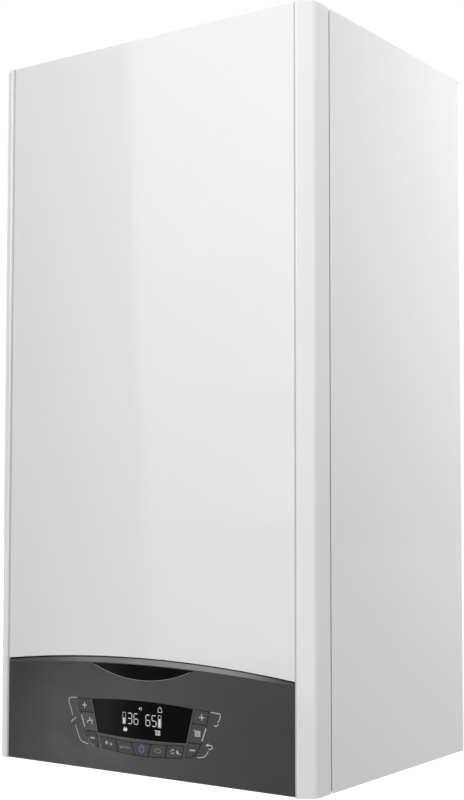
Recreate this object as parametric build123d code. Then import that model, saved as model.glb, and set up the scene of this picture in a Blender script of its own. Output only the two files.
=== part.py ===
from build123d import *
import math
import os

# Wall-hung condensing boiler, millimetres.
# The wall is the plane y = 0, the front is -Y, +Z is up, and z = 0 is the bottom edge of the casing.

# Overall size of the casing
WIDTH = 400.0
HEIGHT = 745.0
DEPTH = 319.0
SHEET = 1.0
HALF = WIDTH / 2

# Planes across the depth, from the wall to the front
PANEL_REAR = -4.0
PANEL_FRONT = -281.0
COVER_REAR = -282.8
FLANGE_FRONT = -308.7
FACE_Y = -316.7
RIDGE_ROUNDING = 0.65
RIDGE_Y = -DEPTH - RIDGE_ROUNDING

# Front cover: two ridged columns either side of a flat face
RIDGE_X = 184.4
FLANK_X = 183.0
FACE_EDGE_X = 181.6
ARC_TOP_Z = 116.0
ARC_RADIUS = 1562.0

# Dark control panel that fills the cut-out in the cover
FASCIA_HALF = 181.2
FASCIA_BOTTOM = 0.5
FASCIA_ARC_TOP = 109.4
FASCIA_ARC_RADIUS = 1950.0
FASCIA_WALL = 3.0
FASCIA_BACK = FACE_Y + FASCIA_WALL
FOLD_Y = -296.0
FOLD_Z = 8.0
FOLD_PIN = 3.0

# Running clearance of every pin and shaft, on the radius
RUNNING = 0.05

# Floor of the sealed chamber, which parts the gas side from the water side
CHAMBER_Z = 128.0
CHAMBER_SHEET = 1.2

# Primary exchanger, a drum lying front to back
DRUM_X = 0.0
DRUM_Z = 520.0
DRUM_R = 105.0
DRUM_WALL = 3.0
DRUM_REAR = -92.0
DRUM_FRONT = -238.0
DOOR_FRONT = -248.0

# Places where the drum's shell is made up of parts
SHELL_JOIN = -166.0
SADDLE_X = (-50.0, 50.0)
SADDLE_FOOT = 606.0
SADDLE_TOP = 628.5

# Fan below the drum, on a vertical axis
FAN_X = 40.0
FAN_Y = -165.0
FAN_BOTTOM = 332.0
FAN_TOP = 378.0
FAN_SHAFT = 3.0

# Flue axis through the top plate
FLUE_X = 0.0
FLUE_Y = -125.0
FLUE_INNER_BORE = 30.0
FLUE_OUTER = 50.0

# Pump axis, front to back
PUMP_X = 130.0
PUMP_Z = 62.0
PUMP_SHAFT = 3.0

# Diverter valve axis, front to back
DIVERTER_X = -135.0
DIVERTER_Z = 66.0
STEM_R = 3.0

# Pipe connections below the casing, in one row parallel to the wall
STUB_Y = -110.0
STUB_END = -22.0
STUB_PITCH = 65.0
NUT_LOW = 1.0
THREE_QUARTER = 13.22
HALF_INCH = 10.48
PIPE_R = 9.0

# Small service parts
TRAP_X = -70.0
TRAP_Y = -222.0
TRAP_SHOULDER = 118.0
TRAP_RINGS = ((-17.0, 24.0), (24.0, 44.0), (44.0, 97.0), (97.0, 139.0))
DRAIN_SHOULDER = 420.0
SPIGOT = 20.0
SPIGOT_R = 8.0
SAFETY_X = 68.0
SAFETY_Z = 78.0
TAP_X = 30.0
TAP_Y = -150.0
VENT_X = 112.0
VENT_Y = -140.0

# Hanging slots and lower fixing holes in the back plate
SLOT_X = 100.0
SLOT_Z = 712.0
SLOT_LENGTH = 30.0
SLOT_HALF = 5.0
LOW_FIX_X = 150.0
LOW_FIX_Z = 20.0
LOW_FIX_R = 4.0

# Pan head screws that hold the frame
SCREW_R = 1.9
SCREW_HEAD_R = 4.0
SCREW_HEAD = 2.2
SCREW_LENGTH = 8.0


def block(x, y, z):
    """Box between two limits on each axis."""
    centre = Pos((x[0] + x[1]) / 2, (y[0] + y[1]) / 2, (z[0] + z[1]) / 2)
    return centre * Box(abs(x[1] - x[0]), abs(y[1] - y[0]), abs(z[1] - z[0]))


def rod(start, end, radius):
    """Round bar between two points."""
    start = Vector(*start)
    end = Vector(*end)
    return extrude(Plane(origin=start, z_dir=end - start) * Circle(radius), amount=(end - start).length)


def hex_rod(start, end, flats):
    """Hexagonal bar between two points, by its width across flats."""
    start = Vector(*start)
    end = Vector(*end)
    corner = flats / 2 / math.cos(math.pi / 6)
    base = Plane(origin=start, z_dir=end - start)
    return extrude(base * RegularPolygon(corner, 6), amount=(end - start).length)


def soft_block(x, y, z, radius, axis):
    """Box with its edges along one axis rounded."""
    shape = block(x, y, z)
    return fillet(shape.edges().filter_by(axis), radius)


def front_prism(sketch, rear_y, front_y):
    """Prism of an outline drawn in X and Z, from its rear plane to its front plane."""
    return extrude(Plane.XZ.offset(-rear_y) * sketch, amount=rear_y - front_y)


def pipe(points, radius, bend, wall=0.0):
    """Bent pipe through points, with one bend radius and an optional wall."""
    path = FilletPolyline(*points, radius=bend)
    mouth = Plane(origin=path @ 0, z_dir=path % 0)
    solid = sweep(mouth * Circle(radius), path=path)
    if wall:
        solid -= sweep(mouth * Circle(radius - wall), path=path)
    return solid


def mirrored(shape):
    """The same shape on the other side of the centre plane."""
    return mirror(shape, about=Plane.YZ)


def both_sides(shape):
    """A shape and its mirror image as one group."""
    return shape + mirrored(shape)


def arc_height(x, top, radius):
    """Height of a shallow arch at a distance from the centre."""
    return top - x * x / (2 * radius)


def arch_outline(half, bottom, top, radius, drop=0.0):
    """Flat bottom, straight sides and a shallow arch on top, in X and Z."""
    side = arc_height(half, top, radius) - drop
    outline = Polyline((-half, side), (-half, bottom), (half, bottom), (half, side))
    outline += ThreePointArc((half, side), (0, top - drop), (-half, side))
    return make_face(outline)


def save(node, shape):
    """Write one named piece."""
    if isinstance(shape, (list, ShapeList)):
        shape = Compound(children=list(shape))
    export_step(shape, os.path.join("parts", node + ".step"))


# Fasteners of the frame
# Each is a point under its head and the way the shank runs.
TOP_SCREWS = [(sx * 190.0, y, HEIGHT) for sx in (-1, 1) for y in (-250.0, -30.0)]
COLLAR_SCREWS = [(FLUE_X + sx * 60.0, FLUE_Y + sy * 60.0, HEIGHT + 2.5) for sx in (-1, 1) for sy in (-1, 1)]
BLANK_X = 132.0
BLANK_SCREWS = [(BLANK_X + sx * 27.0, FLUE_Y + sy * 27.0, HEIGHT + 2.0) for sx in (-1, 1) for sy in (-1, 1)]
BACK_SCREWS = [(sx * 187.0, -2.8, z) for sx in (-1, 1) for z in (60.0, 270.0, 480.0, 690.0)]
DOWN = (0, 0, -1)
FORWARD = (0, -1, 0)


def along(point, direction, distance):
    """Point moved along a direction."""
    return tuple(p + d * distance for p, d in zip(point, direction))


def screw(point, direction):
    """Pan head screw with a cross recess."""
    head_top = along(point, direction, -SCREW_HEAD)
    head = rod(point, head_top, SCREW_HEAD_R)
    head = fillet(head.edges().filter_by(GeomType.CIRCLE).sort_by_distance(head_top)[0], 0.9)
    recess_depth = 1.2
    bar = 3.2
    slot = Plane(origin=head_top, z_dir=direction) * (Rectangle(bar, 0.8) + Rectangle(0.8, bar))
    head -= extrude(slot, amount=recess_depth)
    return head + rod(point, along(point, direction, SCREW_LENGTH), SCREW_R)


def screw_hole(point, direction):
    """Clearance for the shank of a frame screw."""
    return rod(along(point, direction, -6), along(point, direction, SCREW_LENGTH + 2), SCREW_R + 0.15)


def frame_screws():
    """All screws of the frame, as one group of equal pieces."""
    group = [screw(p, DOWN) for p in TOP_SCREWS + COLLAR_SCREWS + BLANK_SCREWS]
    group += [screw(p, FORWARD) for p in BACK_SCREWS]
    return group


# Sheet metal of the casing
def back_plate():
    """Dished back plate with hanging slots, lower fixing holes and two stiffening swages."""
    dish = 176.0
    edge = 197.0
    step = 1.5
    thick = 1.2
    rear = [(-edge, -2.8), (-dish, -2.8), (-dish + step, 0), (dish - step, 0), (dish, -2.8), (edge, -2.8)]
    front = [(edge, -4.0), (dish - 0.8, -4.0), (dish - 0.8 - step, -thick)]
    front += [(-x, y) for x, y in reversed(front)]
    plate = extrude(make_face(Polyline(*rear, *front, close=True)), amount=HEIGHT - 3)
    swage_w = 26.0
    swage_d = 3.0
    for x in (-130.0, 130.0):
        inner = Pos(x, -swage_d - thick, 365) * Box(swage_w, 2 * swage_d, 560)
        groove = Pos(x, 0, 365) * Box(swage_w - 2 * thick, 2 * swage_d, 560 - 2 * thick)
        inner = fillet(inner.edges().filter_by(Axis.Y), swage_w / 2 - 0.5)
        groove = fillet(groove.edges().filter_by(Axis.Y), swage_w / 2 - thick - 0.5)
        plate += inner & block((-dish, dish), (-swage_d - thick, -thick + 0.1), (0, HEIGHT))
        plate -= groove
    for x in (-SLOT_X, SLOT_X):
        slot = SlotOverall(SLOT_LENGTH, 2 * SLOT_HALF)
        plate -= front_prism(Pos(x, SLOT_Z) * slot, 1, -3)
    for x in (-LOW_FIX_X, LOW_FIX_X):
        plate -= rod((x, 1, LOW_FIX_Z), (x, -3, LOW_FIX_Z), LOW_FIX_R)
    for point in BACK_SCREWS:
        plate -= screw_hole(point, FORWARD)
    return plate


def side_panel():
    """Right side panel, a sheet with both long edges folded inwards."""
    fold = 16.0
    bend = 1.6
    points = [(HALF - fold, PANEL_FRONT), (HALF, PANEL_FRONT), (HALF, PANEL_REAR), (HALF - fold, PANEL_REAR)]
    outer = FilletPolyline(*points, radius=bend)
    inner_points = [
        (HALF - fold, PANEL_FRONT + SHEET),
        (HALF - SHEET, PANEL_FRONT + SHEET),
        (HALF - SHEET, PANEL_REAR - SHEET),
        (HALF - fold, PANEL_REAR - SHEET),
    ]
    inner = FilletPolyline(*inner_points, radius=bend - SHEET)
    ends = Line(outer @ 1, inner @ 1) + Line(inner @ 0, outer @ 0)
    panel = extrude(make_face(outer + inner + ends), amount=HEIGHT)
    for z in ((-1, 4.0), (HEIGHT - 2.0, HEIGHT + 1)):
        panel -= block((HALF - fold - 1, HALF - SHEET - 0.1), (PANEL_FRONT - 1, PANEL_REAR + 1), z)
    for point in BACK_SCREWS:
        panel -= screw_hole(point, FORWARD)
    return panel


def top_plate():
    """Top plate with the flue opening, a blanked second air intake and down-turned edges."""
    half = HALF - SHEET - 0.2
    low = HEIGHT - CHAMBER_SHEET
    lip_z = HEIGHT - 20.0
    plate = block((-half, half), (PANEL_FRONT, -1.4), (low, HEIGHT))
    plate += block((-183.5, 183.5), (PANEL_FRONT, PANEL_FRONT + SHEET), (lip_z, low))
    plate += block((-170, 170), (-2.5, -1.3), (lip_z, low))
    plate -= rod((FLUE_X, FLUE_Y, low - 1), (FLUE_X, FLUE_Y, HEIGHT + 1), 52.0)
    blank = rod((BLANK_X, FLUE_Y, HEIGHT), (BLANK_X, FLUE_Y, HEIGHT + 2.0), 44.0)
    blank += rod((BLANK_X, FLUE_Y, HEIGHT), (BLANK_X, FLUE_Y, HEIGHT + 5.0), 31.0)
    plate += blank
    for point in TOP_SCREWS + COLLAR_SCREWS + BLANK_SCREWS:
        plate -= screw_hole(point, DOWN)
    for x in (-110.0, 110.0):
        plate -= block((x - 13, x + 13), (PANEL_FRONT - 1, PANEL_FRONT + 2), (737.5, 743.0))
    return plate


def bottom_plate():
    """Bottom plate with pipe openings, two ears for the folding panel and slotted tabs for the cover."""
    low = 2.0
    high = low + CHAMBER_SHEET
    front = -252.0
    half = HALF - SHEET - 0.2
    plate = block((-half, half), (front, -5.2), (low, high))
    openings = [(i * STUB_PITCH, STUB_Y, 19.0) for i in (-2, -1, 0, 1, 2)]
    openings += [(TRAP_X, TRAP_Y, 14.0), (SAFETY_X, -178.0, 9.0), (TAP_X, TAP_Y, 9.0)]
    for x, y, radius in openings:
        plate -= rod((x, y, low - 1), (x, y, high + 1), radius)
    edge = block((half - 1, half), (front, -6.0), (high, 18.0))
    tab = block((185.0, 197.0), (-300.0, front), (low, high))
    tab -= rod((191.0, -292.0, low - 1), (191.0, -292.0, high + 1), 2.2)
    tab -= block((188.8, 193.2), (-301.0, -292.0), (low - 1, high + 1))
    ear_x = (172.0, 173.5)
    ear = rod((ear_x[0], FOLD_Y, FOLD_Z), (ear_x[1], FOLD_Y, FOLD_Z), 5.5)
    ear += block(ear_x, (FOLD_Y, front + 14), (4.0, 13.5))
    ear += block(ear_x, (front, front + 14), (low, 13.5))
    ear -= rod((ear_x[0] - 1, FOLD_Y, FOLD_Z), (ear_x[1] + 1, FOLD_Y, FOLD_Z), FOLD_PIN + RUNNING)
    return plate + both_sides(edge) + both_sides(tab) + both_sides(ear)


def chamber_floor():
    """Floor of the sealed chamber, with a turned-up front edge and a hole for each pipe."""
    top = CHAMBER_Z + CHAMBER_SHEET
    half = HALF - SHEET - 0.2
    plate = block((-half, half), (PANEL_FRONT + SHEET + 0.7, -5.9), (CHAMBER_Z, top))
    plate += block((-183.5, 183.5), (PANEL_FRONT + 0.5, PANEL_FRONT + 2), (CHAMBER_Z, top))
    plate += block((-183.5, 183.5), (PANEL_FRONT, PANEL_FRONT + SHEET), (CHAMBER_Z, 142.0))
    openings = [(-170, -120, 14), (175, -120, 14), (0, STUB_Y, 13), (TRAP_X, TRAP_Y, 12.5), (100, -42, 11)]
    for x, y, radius in openings:
        plate -= rod((x, y, CHAMBER_Z - 1), (x, y, top + 1), radius)
    return plate


def chamber_gasket():
    """Foam seal between the frame and the chamber panel."""
    outer = block((-191, 191), (-283.0, PANEL_FRONT), (131.5, 735.5))
    outer = fillet(outer.edges().filter_by(Axis.Y), 8)
    inner = block((-184.5, 184.5), (-284.0, PANEL_FRONT + 1), (139.0, 728.5))
    inner = fillet(inner.edges().filter_by(Axis.Y), 4)
    return outer - inner


def chamber_panel():
    """Pressed sheet that closes the sealed chamber, with a sight glass boss and two clip plates."""
    rim_y = (-284.0, -283.0)
    rim = block((-192, 192), rim_y, (130.5, 736.5))
    rim = fillet(rim.edges().filter_by(Axis.Y), 9)
    field_front = -291.0
    field = block((-176, 176), (field_front, rim_y[1]), (146.0, 721.0))
    field = fillet(field.edges().filter_by(Axis.Y), 16)
    field = fillet(field.faces().sort_by(Axis.Y)[0].edges(), 3)
    hollow = block((-175, 175), (field_front + SHEET, rim_y[1] + 1), (147.0, 720.0))
    hollow = fillet(hollow.edges().filter_by(Axis.Y), 15)
    hollow = fillet(hollow.faces().sort_by(Axis.Y)[0].edges(), 2)
    panel = rim + field - hollow
    for z in (250.0, 433.0, 616.0):
        swage = block((-130, 130), (field_front - 2.0, field_front + 0.5), (z - 8, z + 8))
        swage = fillet(swage.edges().filter_by(Axis.Y), 7.5)
        groove = block((-129, 129), (field_front - 1.0, field_front + 2.0), (z - 7, z + 7))
        panel = panel + swage - fillet(groove.edges().filter_by(Axis.Y), 6.5)
    for x in (-120.0, 120.0):
        panel += block((x - 12, x + 12), (-286.5, rim_y[0]), (724.0, 736.5))
    return panel


# Front cover
def cover_outline():
    """Plan of the cover's outer skin, from one rear fold to the other."""
    fold_x = HALF - 5.5
    right = [
        (FLANK_X, FACE_Y),
        (RIDGE_X, RIDGE_Y),
        (HALF, FLANGE_FRONT),
        (HALF, COVER_REAR),
        (fold_x, COVER_REAR),
    ]
    left = [(-x, y) for x, y in reversed(right)]
    return FilletPolyline(*left, *right, radius=[1.5, 4.5, 1.4, 1.2, 1.2, 1.4, 4.5, 1.5])


def cover_inner_outline():
    """The same plan one sheet thickness further in."""
    slope = math.atan2(FLANGE_FRONT - RIDGE_Y, HALF - RIDGE_X)
    flank = math.atan2(FACE_Y - RIDGE_Y, RIDGE_X - FLANK_X)
    fold_x = HALF - 5.5
    face_y = FACE_Y + SHEET
    edge_x = FLANK_X + SHEET * math.tan(flank / 2)
    ridge_turn = (flank + slope) / 2
    ridge_lean = (flank - slope) / 2
    ridge_reach = SHEET / math.cos(ridge_turn)
    ridge = (RIDGE_X + ridge_reach * math.sin(ridge_lean), RIDGE_Y + ridge_reach * math.cos(ridge_lean))
    corner_turn = (math.pi / 2 - slope) / 2
    corner = (HALF - SHEET, FLANGE_FRONT + SHEET * math.tan(corner_turn))
    rear_y = COVER_REAR - SHEET
    right = [(edge_x, face_y), ridge, corner, (HALF - SHEET, rear_y), (fold_x, rear_y)]
    left = [(-x, y) for x, y in reversed(right)]
    return FilletPolyline(*left, *right, radius=[0.5, 3.5, 0.4, 2.2, 2.2, 0.4, 3.5, 0.5])


def front_cover():
    """White sheet cover: flat face between two ridged columns, a capped top and an arched cut-out."""
    outer = cover_outline()
    inner = cover_inner_outline()
    ends = Line(outer @ 1, inner @ 1) + Line(inner @ 0, outer @ 0)
    skin = extrude(make_face(outer + inner + ends), amount=HEIGHT - SHEET)
    cap = extrude(make_face(outer + Line(outer @ 1, outer @ 0)), amount=SHEET)
    cover = skin + Pos(0, 0, HEIGHT - SHEET) * cap
    cut = arch_outline(FACE_EDGE_X, -1, ARC_TOP_Z, ARC_RADIUS)
    cover -= front_prism(cut, FACE_Y + 4, RIDGE_Y - 2)
    end_z = arc_height(FACE_EDGE_X, ARC_TOP_Z, ARC_RADIUS)
    lip = arch_outline(FACE_EDGE_X + SHEET, 0, ARC_TOP_Z + SHEET, ARC_RADIUS)
    lip -= arch_outline(FACE_EDGE_X, -1, ARC_TOP_Z, ARC_RADIUS)
    cover += front_prism(lip, FACE_Y + 8, FACE_Y + 0.3) & block((-200, 200), (-320, -300), (60, 200))
    wall = block((FACE_EDGE_X, FACE_EDGE_X + SHEET), (FACE_Y - 0.2, FACE_Y + 14), (0, end_z + 1))
    tab = block((182.2, HALF - SHEET + 0.1), (-300, -285), (0.4, 1.6))
    tab -= rod((191, -292, -1), (191, -292, 3), 2.15)
    tongue = block((100, 120), (-300, -270), (739.5, 741.0))
    tongue += block((100, 120), (-300, -298.5), (739.5, HEIGHT - SHEET + 0.1))
    fold_relief = block((194, HALF - SHEET - 0.1), (COVER_REAR - 1.5, COVER_REAR + 0.5), (-1, 8))
    cover -= both_sides(fold_relief)
    return cover + both_sides(wall) + both_sides(tab) + both_sides(tongue)


def cover_lining():
    """Foam sheet stuck behind the cover's face."""
    sheet = block((-168, 168), (FACE_Y + SHEET + 6, FACE_Y + SHEET), (128, 728))
    sheet = fillet(sheet.edges().filter_by(Axis.Y), 12)
    for x in (-110.0, 110.0):
        sheet -= block((x - 16, x + 16), (-320, -300), (718, 730))
    return sheet


def cover_screws():
    """Two captive screws under the columns."""
    shank = rod((191, -292, 0.4), (191, -292, 12), 2.0)
    head = rod((191, -292, -2.2), (191, -292, 0.4), 4.6)
    head -= block((187.5, 194.5), (-292.5, -291.5), (-2.3, -1.0))
    return both_sides(head + shank)


# Control panel outlines, drawn in X and Z
DISPLAY_TOP = 71.0
DISPLAY_BOTTOM = 37.4
DISPLAY_TOP_HALF = 64.4
DISPLAY_BOTTOM_HALF = 56.0
DISPLAY_CROWN = 73.5
DISPLAY_SAG = 35.7
SIDE_LEAN = (DISPLAY_TOP_HALF - DISPLAY_BOTTOM_HALF) / (DISPLAY_TOP - DISPLAY_BOTTOM)
KEY_GAP = 0.55
KEY_PROUD = 0.5
KEY_TRAVEL = 1.0
BOARD_FRONT = -309.3
KEY_REAR = BOARD_FRONT - KEY_TRAVEL - 0.2
COLUMN_GAP = 2.3


def display_face(grow=0.0):
    """Trapezium of the display with bowed top and bottom edges, grown by a margin."""
    top = DISPLAY_TOP + grow
    bottom = DISPLAY_BOTTOM - grow
    top_half = DISPLAY_TOP_HALF + SIDE_LEAN * grow + grow
    bottom_half = DISPLAY_BOTTOM_HALF - SIDE_LEAN * grow + grow
    lines = ThreePointArc((-top_half, top), (0, DISPLAY_CROWN + grow), (top_half, top))
    lines += Line((top_half, top), (bottom_half, bottom))
    lines += ThreePointArc((bottom_half, bottom), (0, DISPLAY_SAG - grow), (-bottom_half, bottom))
    lines += Line((-bottom_half, bottom), (-top_half, top))
    return make_face(lines)


def column_inner(z):
    """Inner edge of the side key column at a height."""
    return DISPLAY_BOTTOM_HALF + SIDE_LEAN * (z - DISPLAY_BOTTOM) + COLUMN_GAP


def polygon(points):
    """Face from a closed list of corners."""
    return make_face(Polyline(*points, close=True))


def plus_key():
    """Corners of the upper right key."""
    return [(column_inner(70.4), 70.4), (82.9, 69.8), (80.5, 57.2), (column_inner(57.2), 57.2)]


def legend_cell():
    """Corners of the fixed legend field between the plus and minus keys."""
    return [(column_inner(56.2), 56.2), (80.1, 56.2), (73.9, 38.8), (column_inner(38.8), 38.8)]


def minus_key():
    """Corners of the lower right key, with its swept outer corner."""
    sweep_round = [(70.9, 33.0), (68.2, 29.0), (65.0, 25.9), (60.4, 24.2)]
    return [(column_inner(37.8), 37.8), (73.3, 37.8), *sweep_round, (55.4, 23.4)]


def outer_row_key():
    """Corners of the fourth and, mirrored, first key of the lower row."""
    return [(33.3, 32.8), (53.0, 34.2), (50.2, 22.7), (30.2, 20.9)]


def inner_row_key():
    """Corners of the second key from the middle of the lower row."""
    return [(12.9, 31.9), (32.4, 32.7), (29.3, 20.8), (9.0, 19.7)]


def power_key():
    """Corners of the middle key of the lower row."""
    return [(-12.0, 31.8), (12.0, 31.8), (8.1, 19.6), (-8.1, 19.6)]


def flipped(points):
    """Outline mirrored to the left side."""
    return [(-x, z) for x, z in points]


KEYS = {
    "heating_plus_button": plus_key(),
    "heating_minus_button": minus_key(),
    "reset_button": outer_row_key(),
    "auto_button": inner_row_key(),
    "power_button": power_key(),
    "comfort_button": flipped(inner_row_key()),
    "mode_button": flipped(outer_row_key()),
    "hot_water_minus_button": flipped(minus_key()),
    "hot_water_plus_button": flipped(plus_key()),
}


def badge_face(grow=0.0):
    """Lens-shaped field under the arch of the panel, grown by a margin."""
    tip = 65.0 + 3 * grow
    lines = ThreePointArc((-tip, 107.3), (0, 108.7 + grow), (tip, 107.3))
    lines += ThreePointArc((tip, 107.3), (0, 93.3 - grow), (-tip, 107.3))
    return make_face(lines)


def control_fascia():
    """Dark front of the control panel: a shallow tray with a bevelled arch on top."""
    bevel_y = FACE_Y + 2.5
    skirt_y = -305.0
    wall = 2.4
    front = arch_outline(FASCIA_HALF, FASCIA_BOTTOM, FASCIA_ARC_TOP, FASCIA_ARC_RADIUS)
    rear = arch_outline(FASCIA_HALF, FASCIA_BOTTOM, ARC_TOP_Z, ARC_RADIUS, drop=0.6)
    bevel = loft([Plane.XZ.offset(-FACE_Y) * front, Plane.XZ.offset(-bevel_y) * rear], ruled=True)
    fascia = bevel + front_prism(rear, skirt_y, bevel_y)
    inner = arch_outline(FASCIA_HALF - wall, FASCIA_BOTTOM + wall, ARC_TOP_Z, ARC_RADIUS, drop=wall + 5.0)
    fascia -= front_prism(inner, skirt_y + 1, FASCIA_BACK)
    fascia += front_prism(display_face(0.9), FACE_Y + 0.1, FACE_Y - 0.35)
    fascia -= front_prism(display_face(), FASCIA_BACK + 1, FACE_Y - 2)
    for points in KEYS.values():
        hole = offset(polygon(points), amount=KEY_GAP, kind=Kind.INTERSECTION)
        fascia -= front_prism(hole, FASCIA_BACK + 1, FACE_Y - 2)
    groove_depth = 0.8
    for points in (legend_cell(), flipped(legend_cell())):
        cell = polygon(points)
        ring = offset(cell, amount=KEY_GAP, kind=Kind.INTERSECTION) - cell
        fascia -= front_prism(ring, FACE_Y + groove_depth, FACE_Y - 2)
    fascia -= front_prism(badge_face(), FACE_Y + 1.0, FACE_Y - 2)
    for x, z in [(-87, 76), (87, 76), (-88, 14), (88, 14)]:
        fascia += rod((x, FASCIA_BACK - 0.1, z), (x, BOARD_FRONT, z), 2.6)
    return fascia


def key(points):
    """One key, a prism with a bevelled front that reaches through the fascia."""
    shape = front_prism(polygon(points), KEY_REAR, FACE_Y - KEY_PROUD)
    rim = shape.faces().sort_by(Axis.Y)[0].edges()
    return chamfer(rim, 0.35)


def badge_plate():
    """Blank lens-shaped plate let into the fascia."""
    plate = front_prism(badge_face(-0.12), FACE_Y + 1.0, FACE_Y - 0.4)
    return chamfer(plate.faces().sort_by(Axis.Y)[0].edges(), 0.25)


def display_lens():
    """Dark window of the display, held by a flange behind the fascia."""
    window = front_prism(display_face(-0.15), FASCIA_BACK, FACE_Y + 0.4)
    return window + front_prism(display_face(1.2), FASCIA_BACK + 1.2, FASCIA_BACK)


def display_module():
    """Display board with its glass cell, key switches and connector."""
    board_y = (BOARD_FRONT, BOARD_FRONT + 1.6)
    board = block((-91, 91), board_y, (10, 80))
    cell = block((-48, 48), (-312.2, board_y[0]), (41, 69))
    module = board + cell
    module += block((-60, -30), (board_y[1], -302), (60, 74))
    module += block((20, 44), (board_y[1], -300), (18, 30))
    for x in (-20, 0, 56):
        module += block((x - 4, x + 4), (board_y[1], -305), (50, 56))
    return module


def control_box():
    """Rear housing of the control panel, with hinge trunnions, ribs, glands and latch lugs."""
    half = 166.0
    low = 4.5
    high = 92.0
    rear = -258.0
    wall = 2.2
    box = block((-half, half), (FASCIA_BACK, rear), (low, high))
    box = fillet(box.faces().sort_by(Axis.Y)[-1].edges(), 5)
    hollow = block((-half + wall, half - wall), (FASCIA_BACK - 1, rear - wall), (low + wall, high - wall))
    box -= fillet(hollow.faces().sort_by(Axis.Y)[-1].edges(), 3)
    for x in range(-120, 121, 40):
        box += block((x - 1, x + 1), (-300, rear - 3), (high - 0.1, high + 2.5))
    for x in (-80.0, -30.0, 20.0, 70.0):
        box += rod((x, -272, high - 0.1), (x, -272, high + 2.0), 8.0)
    for x in (-138.0, 138.0):
        box += block((x - 7, x + 7), (-302, -290), (high - 0.1, high + 4.5))
    for x in (-150.0, 150.0):
        for z in (16.0, 82.0):
            box += rod((x, rear - wall + 0.1, z), (x, -264.4, z), 3.2)
    trunnion = rod((half - 0.1, FOLD_Y, FOLD_Z), (176.0, FOLD_Y, FOLD_Z), FOLD_PIN)
    return box + both_sides(trunnion)


def main_board():
    """Main board with transformer, relays, capacitors, heat sink and a row of connectors."""
    board_y = (-266.0, -264.4)
    board = block((-156, 156), board_y, (11, 87))
    parts = block((-140, -98), (-298, board_y[0]), (40, 76))
    for i in range(6):
        x = -84 + i * 21
        parts += block((x, x + 16), (-284, board_y[0]), (58, 80))
    capacitors = [(60, 70, 8, 26), (82, 70, 8, 26), (60, 48, 5, 18), (76, 48, 5, 18), (90, 48, 4, 14)]
    for x, z, radius, tall in capacitors:
        parts += rod((x, board_y[0], z), (x, board_y[0] - tall, z), radius)
    for i in range(6):
        parts += block((104 + i * 6, 106 + i * 6), (-290, board_y[0]), (46, 80))
    parts += block((104, 136), (-268.5, board_y[0]), (46, 80))
    for i in range(9):
        x = -142 + i * 31
        parts += block((x, x + 22), (-278, board_y[0]), (14, 26))
    parts += block((-40, -16), (-269, board_y[0]), (34, 50))
    return board + parts


# Gas side, inside the sealed chamber
ELECTRODE_RADIUS = 72.0
ELECTRODE_ANGLES = (45.0, 15.0, -15.0)
PIN_FRONT = DOOR_FRONT - 30
PIN_R = 1.6


def electrode_place(angle):
    """Centre of an electrode on the door, in X and Z."""
    turn = math.radians(angle)
    return DRUM_X + ELECTRODE_RADIUS * math.cos(turn), DRUM_Z + ELECTRODE_RADIUS * math.sin(turn)


def shell_parts(shell):
    """Drum cut into its flue spigot, the saddle under that, the rear half and the front half."""
    top = (CHAMBER_Z, 700.0)
    rear_side = (SHELL_JOIN, 0.0)
    across = (-150.0, 150.0)
    under_spigot = block(SADDLE_X, rear_side, (SADDLE_FOOT, 700.0))
    spigot = shell & block(SADDLE_X, rear_side, (SADDLE_TOP, 700.0))
    saddle = shell & block(SADDLE_X, rear_side, (SADDLE_FOOT, SADDLE_TOP))
    rear = (shell & block(across, rear_side, top)) - under_spigot
    front = shell & block(across, (-300.0, SHELL_JOIN), top)
    return [part.solid() for part in (spigot, saddle, rear, front)]


def exchanger_shell():
    """Stainless drum with ribs, a rear wall, front flange, flue spigot, water ports and drain."""
    centre_rear = (DRUM_X, DRUM_REAR, DRUM_Z)
    centre_front = (DRUM_X, DRUM_FRONT, DRUM_Z)
    shell = rod(centre_rear, centre_front, DRUM_R)
    for y in (-112.0, -142.0, -172.0, -202.0):
        shell += rod((DRUM_X, y, DRUM_Z), (DRUM_X, y - 4, DRUM_Z), DRUM_R + 3)
    shell += rod((DRUM_X, DRUM_FRONT + 4, DRUM_Z), centre_front, DRUM_R + 8)
    shell += rod((FLUE_X, FLUE_Y, DRUM_Z + 60), (FLUE_X, FLUE_Y, 640), 38.4)
    shell += rod((-60, -120, 560), (-128, -120, 560), 12)
    shell += rod((60, -120, 480), (128, -120, 480), 12)
    shell += rod((TRAP_X, TRAP_Y, 480), (TRAP_X, TRAP_Y, DRAIN_SHOULDER), 10)
    shell += rod((TRAP_X, TRAP_Y, 480), (TRAP_X, TRAP_Y, DRAIN_SHOULDER - SPIGOT), SPIGOT_R)
    for x in (-60.0, 60.0):
        shell += block((x - 12, x + 12), (DRUM_REAR, -79.0), (DRUM_Z - 20, DRUM_Z + 20))
    cavity_r = DRUM_R - DRUM_WALL
    shell -= rod((DRUM_X, DRUM_REAR - DRUM_WALL, DRUM_Z), (DRUM_X, DRUM_FRONT - 1, DRUM_Z), cavity_r)
    shell -= rod((FLUE_X, FLUE_Y, DRUM_Z + 60), (FLUE_X, FLUE_Y, 641), 36.0)
    shell -= rod((-60, -120, 560), (-129, -120, 560), 8)
    shell -= rod((60, -120, 480), (129, -120, 480), 8)
    shell -= rod((TRAP_X, TRAP_Y, 480), (TRAP_X, TRAP_Y, DRAIN_SHOULDER - SPIGOT - 1), SPIGOT_R - 2)
    return shell_parts(shell)


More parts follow.
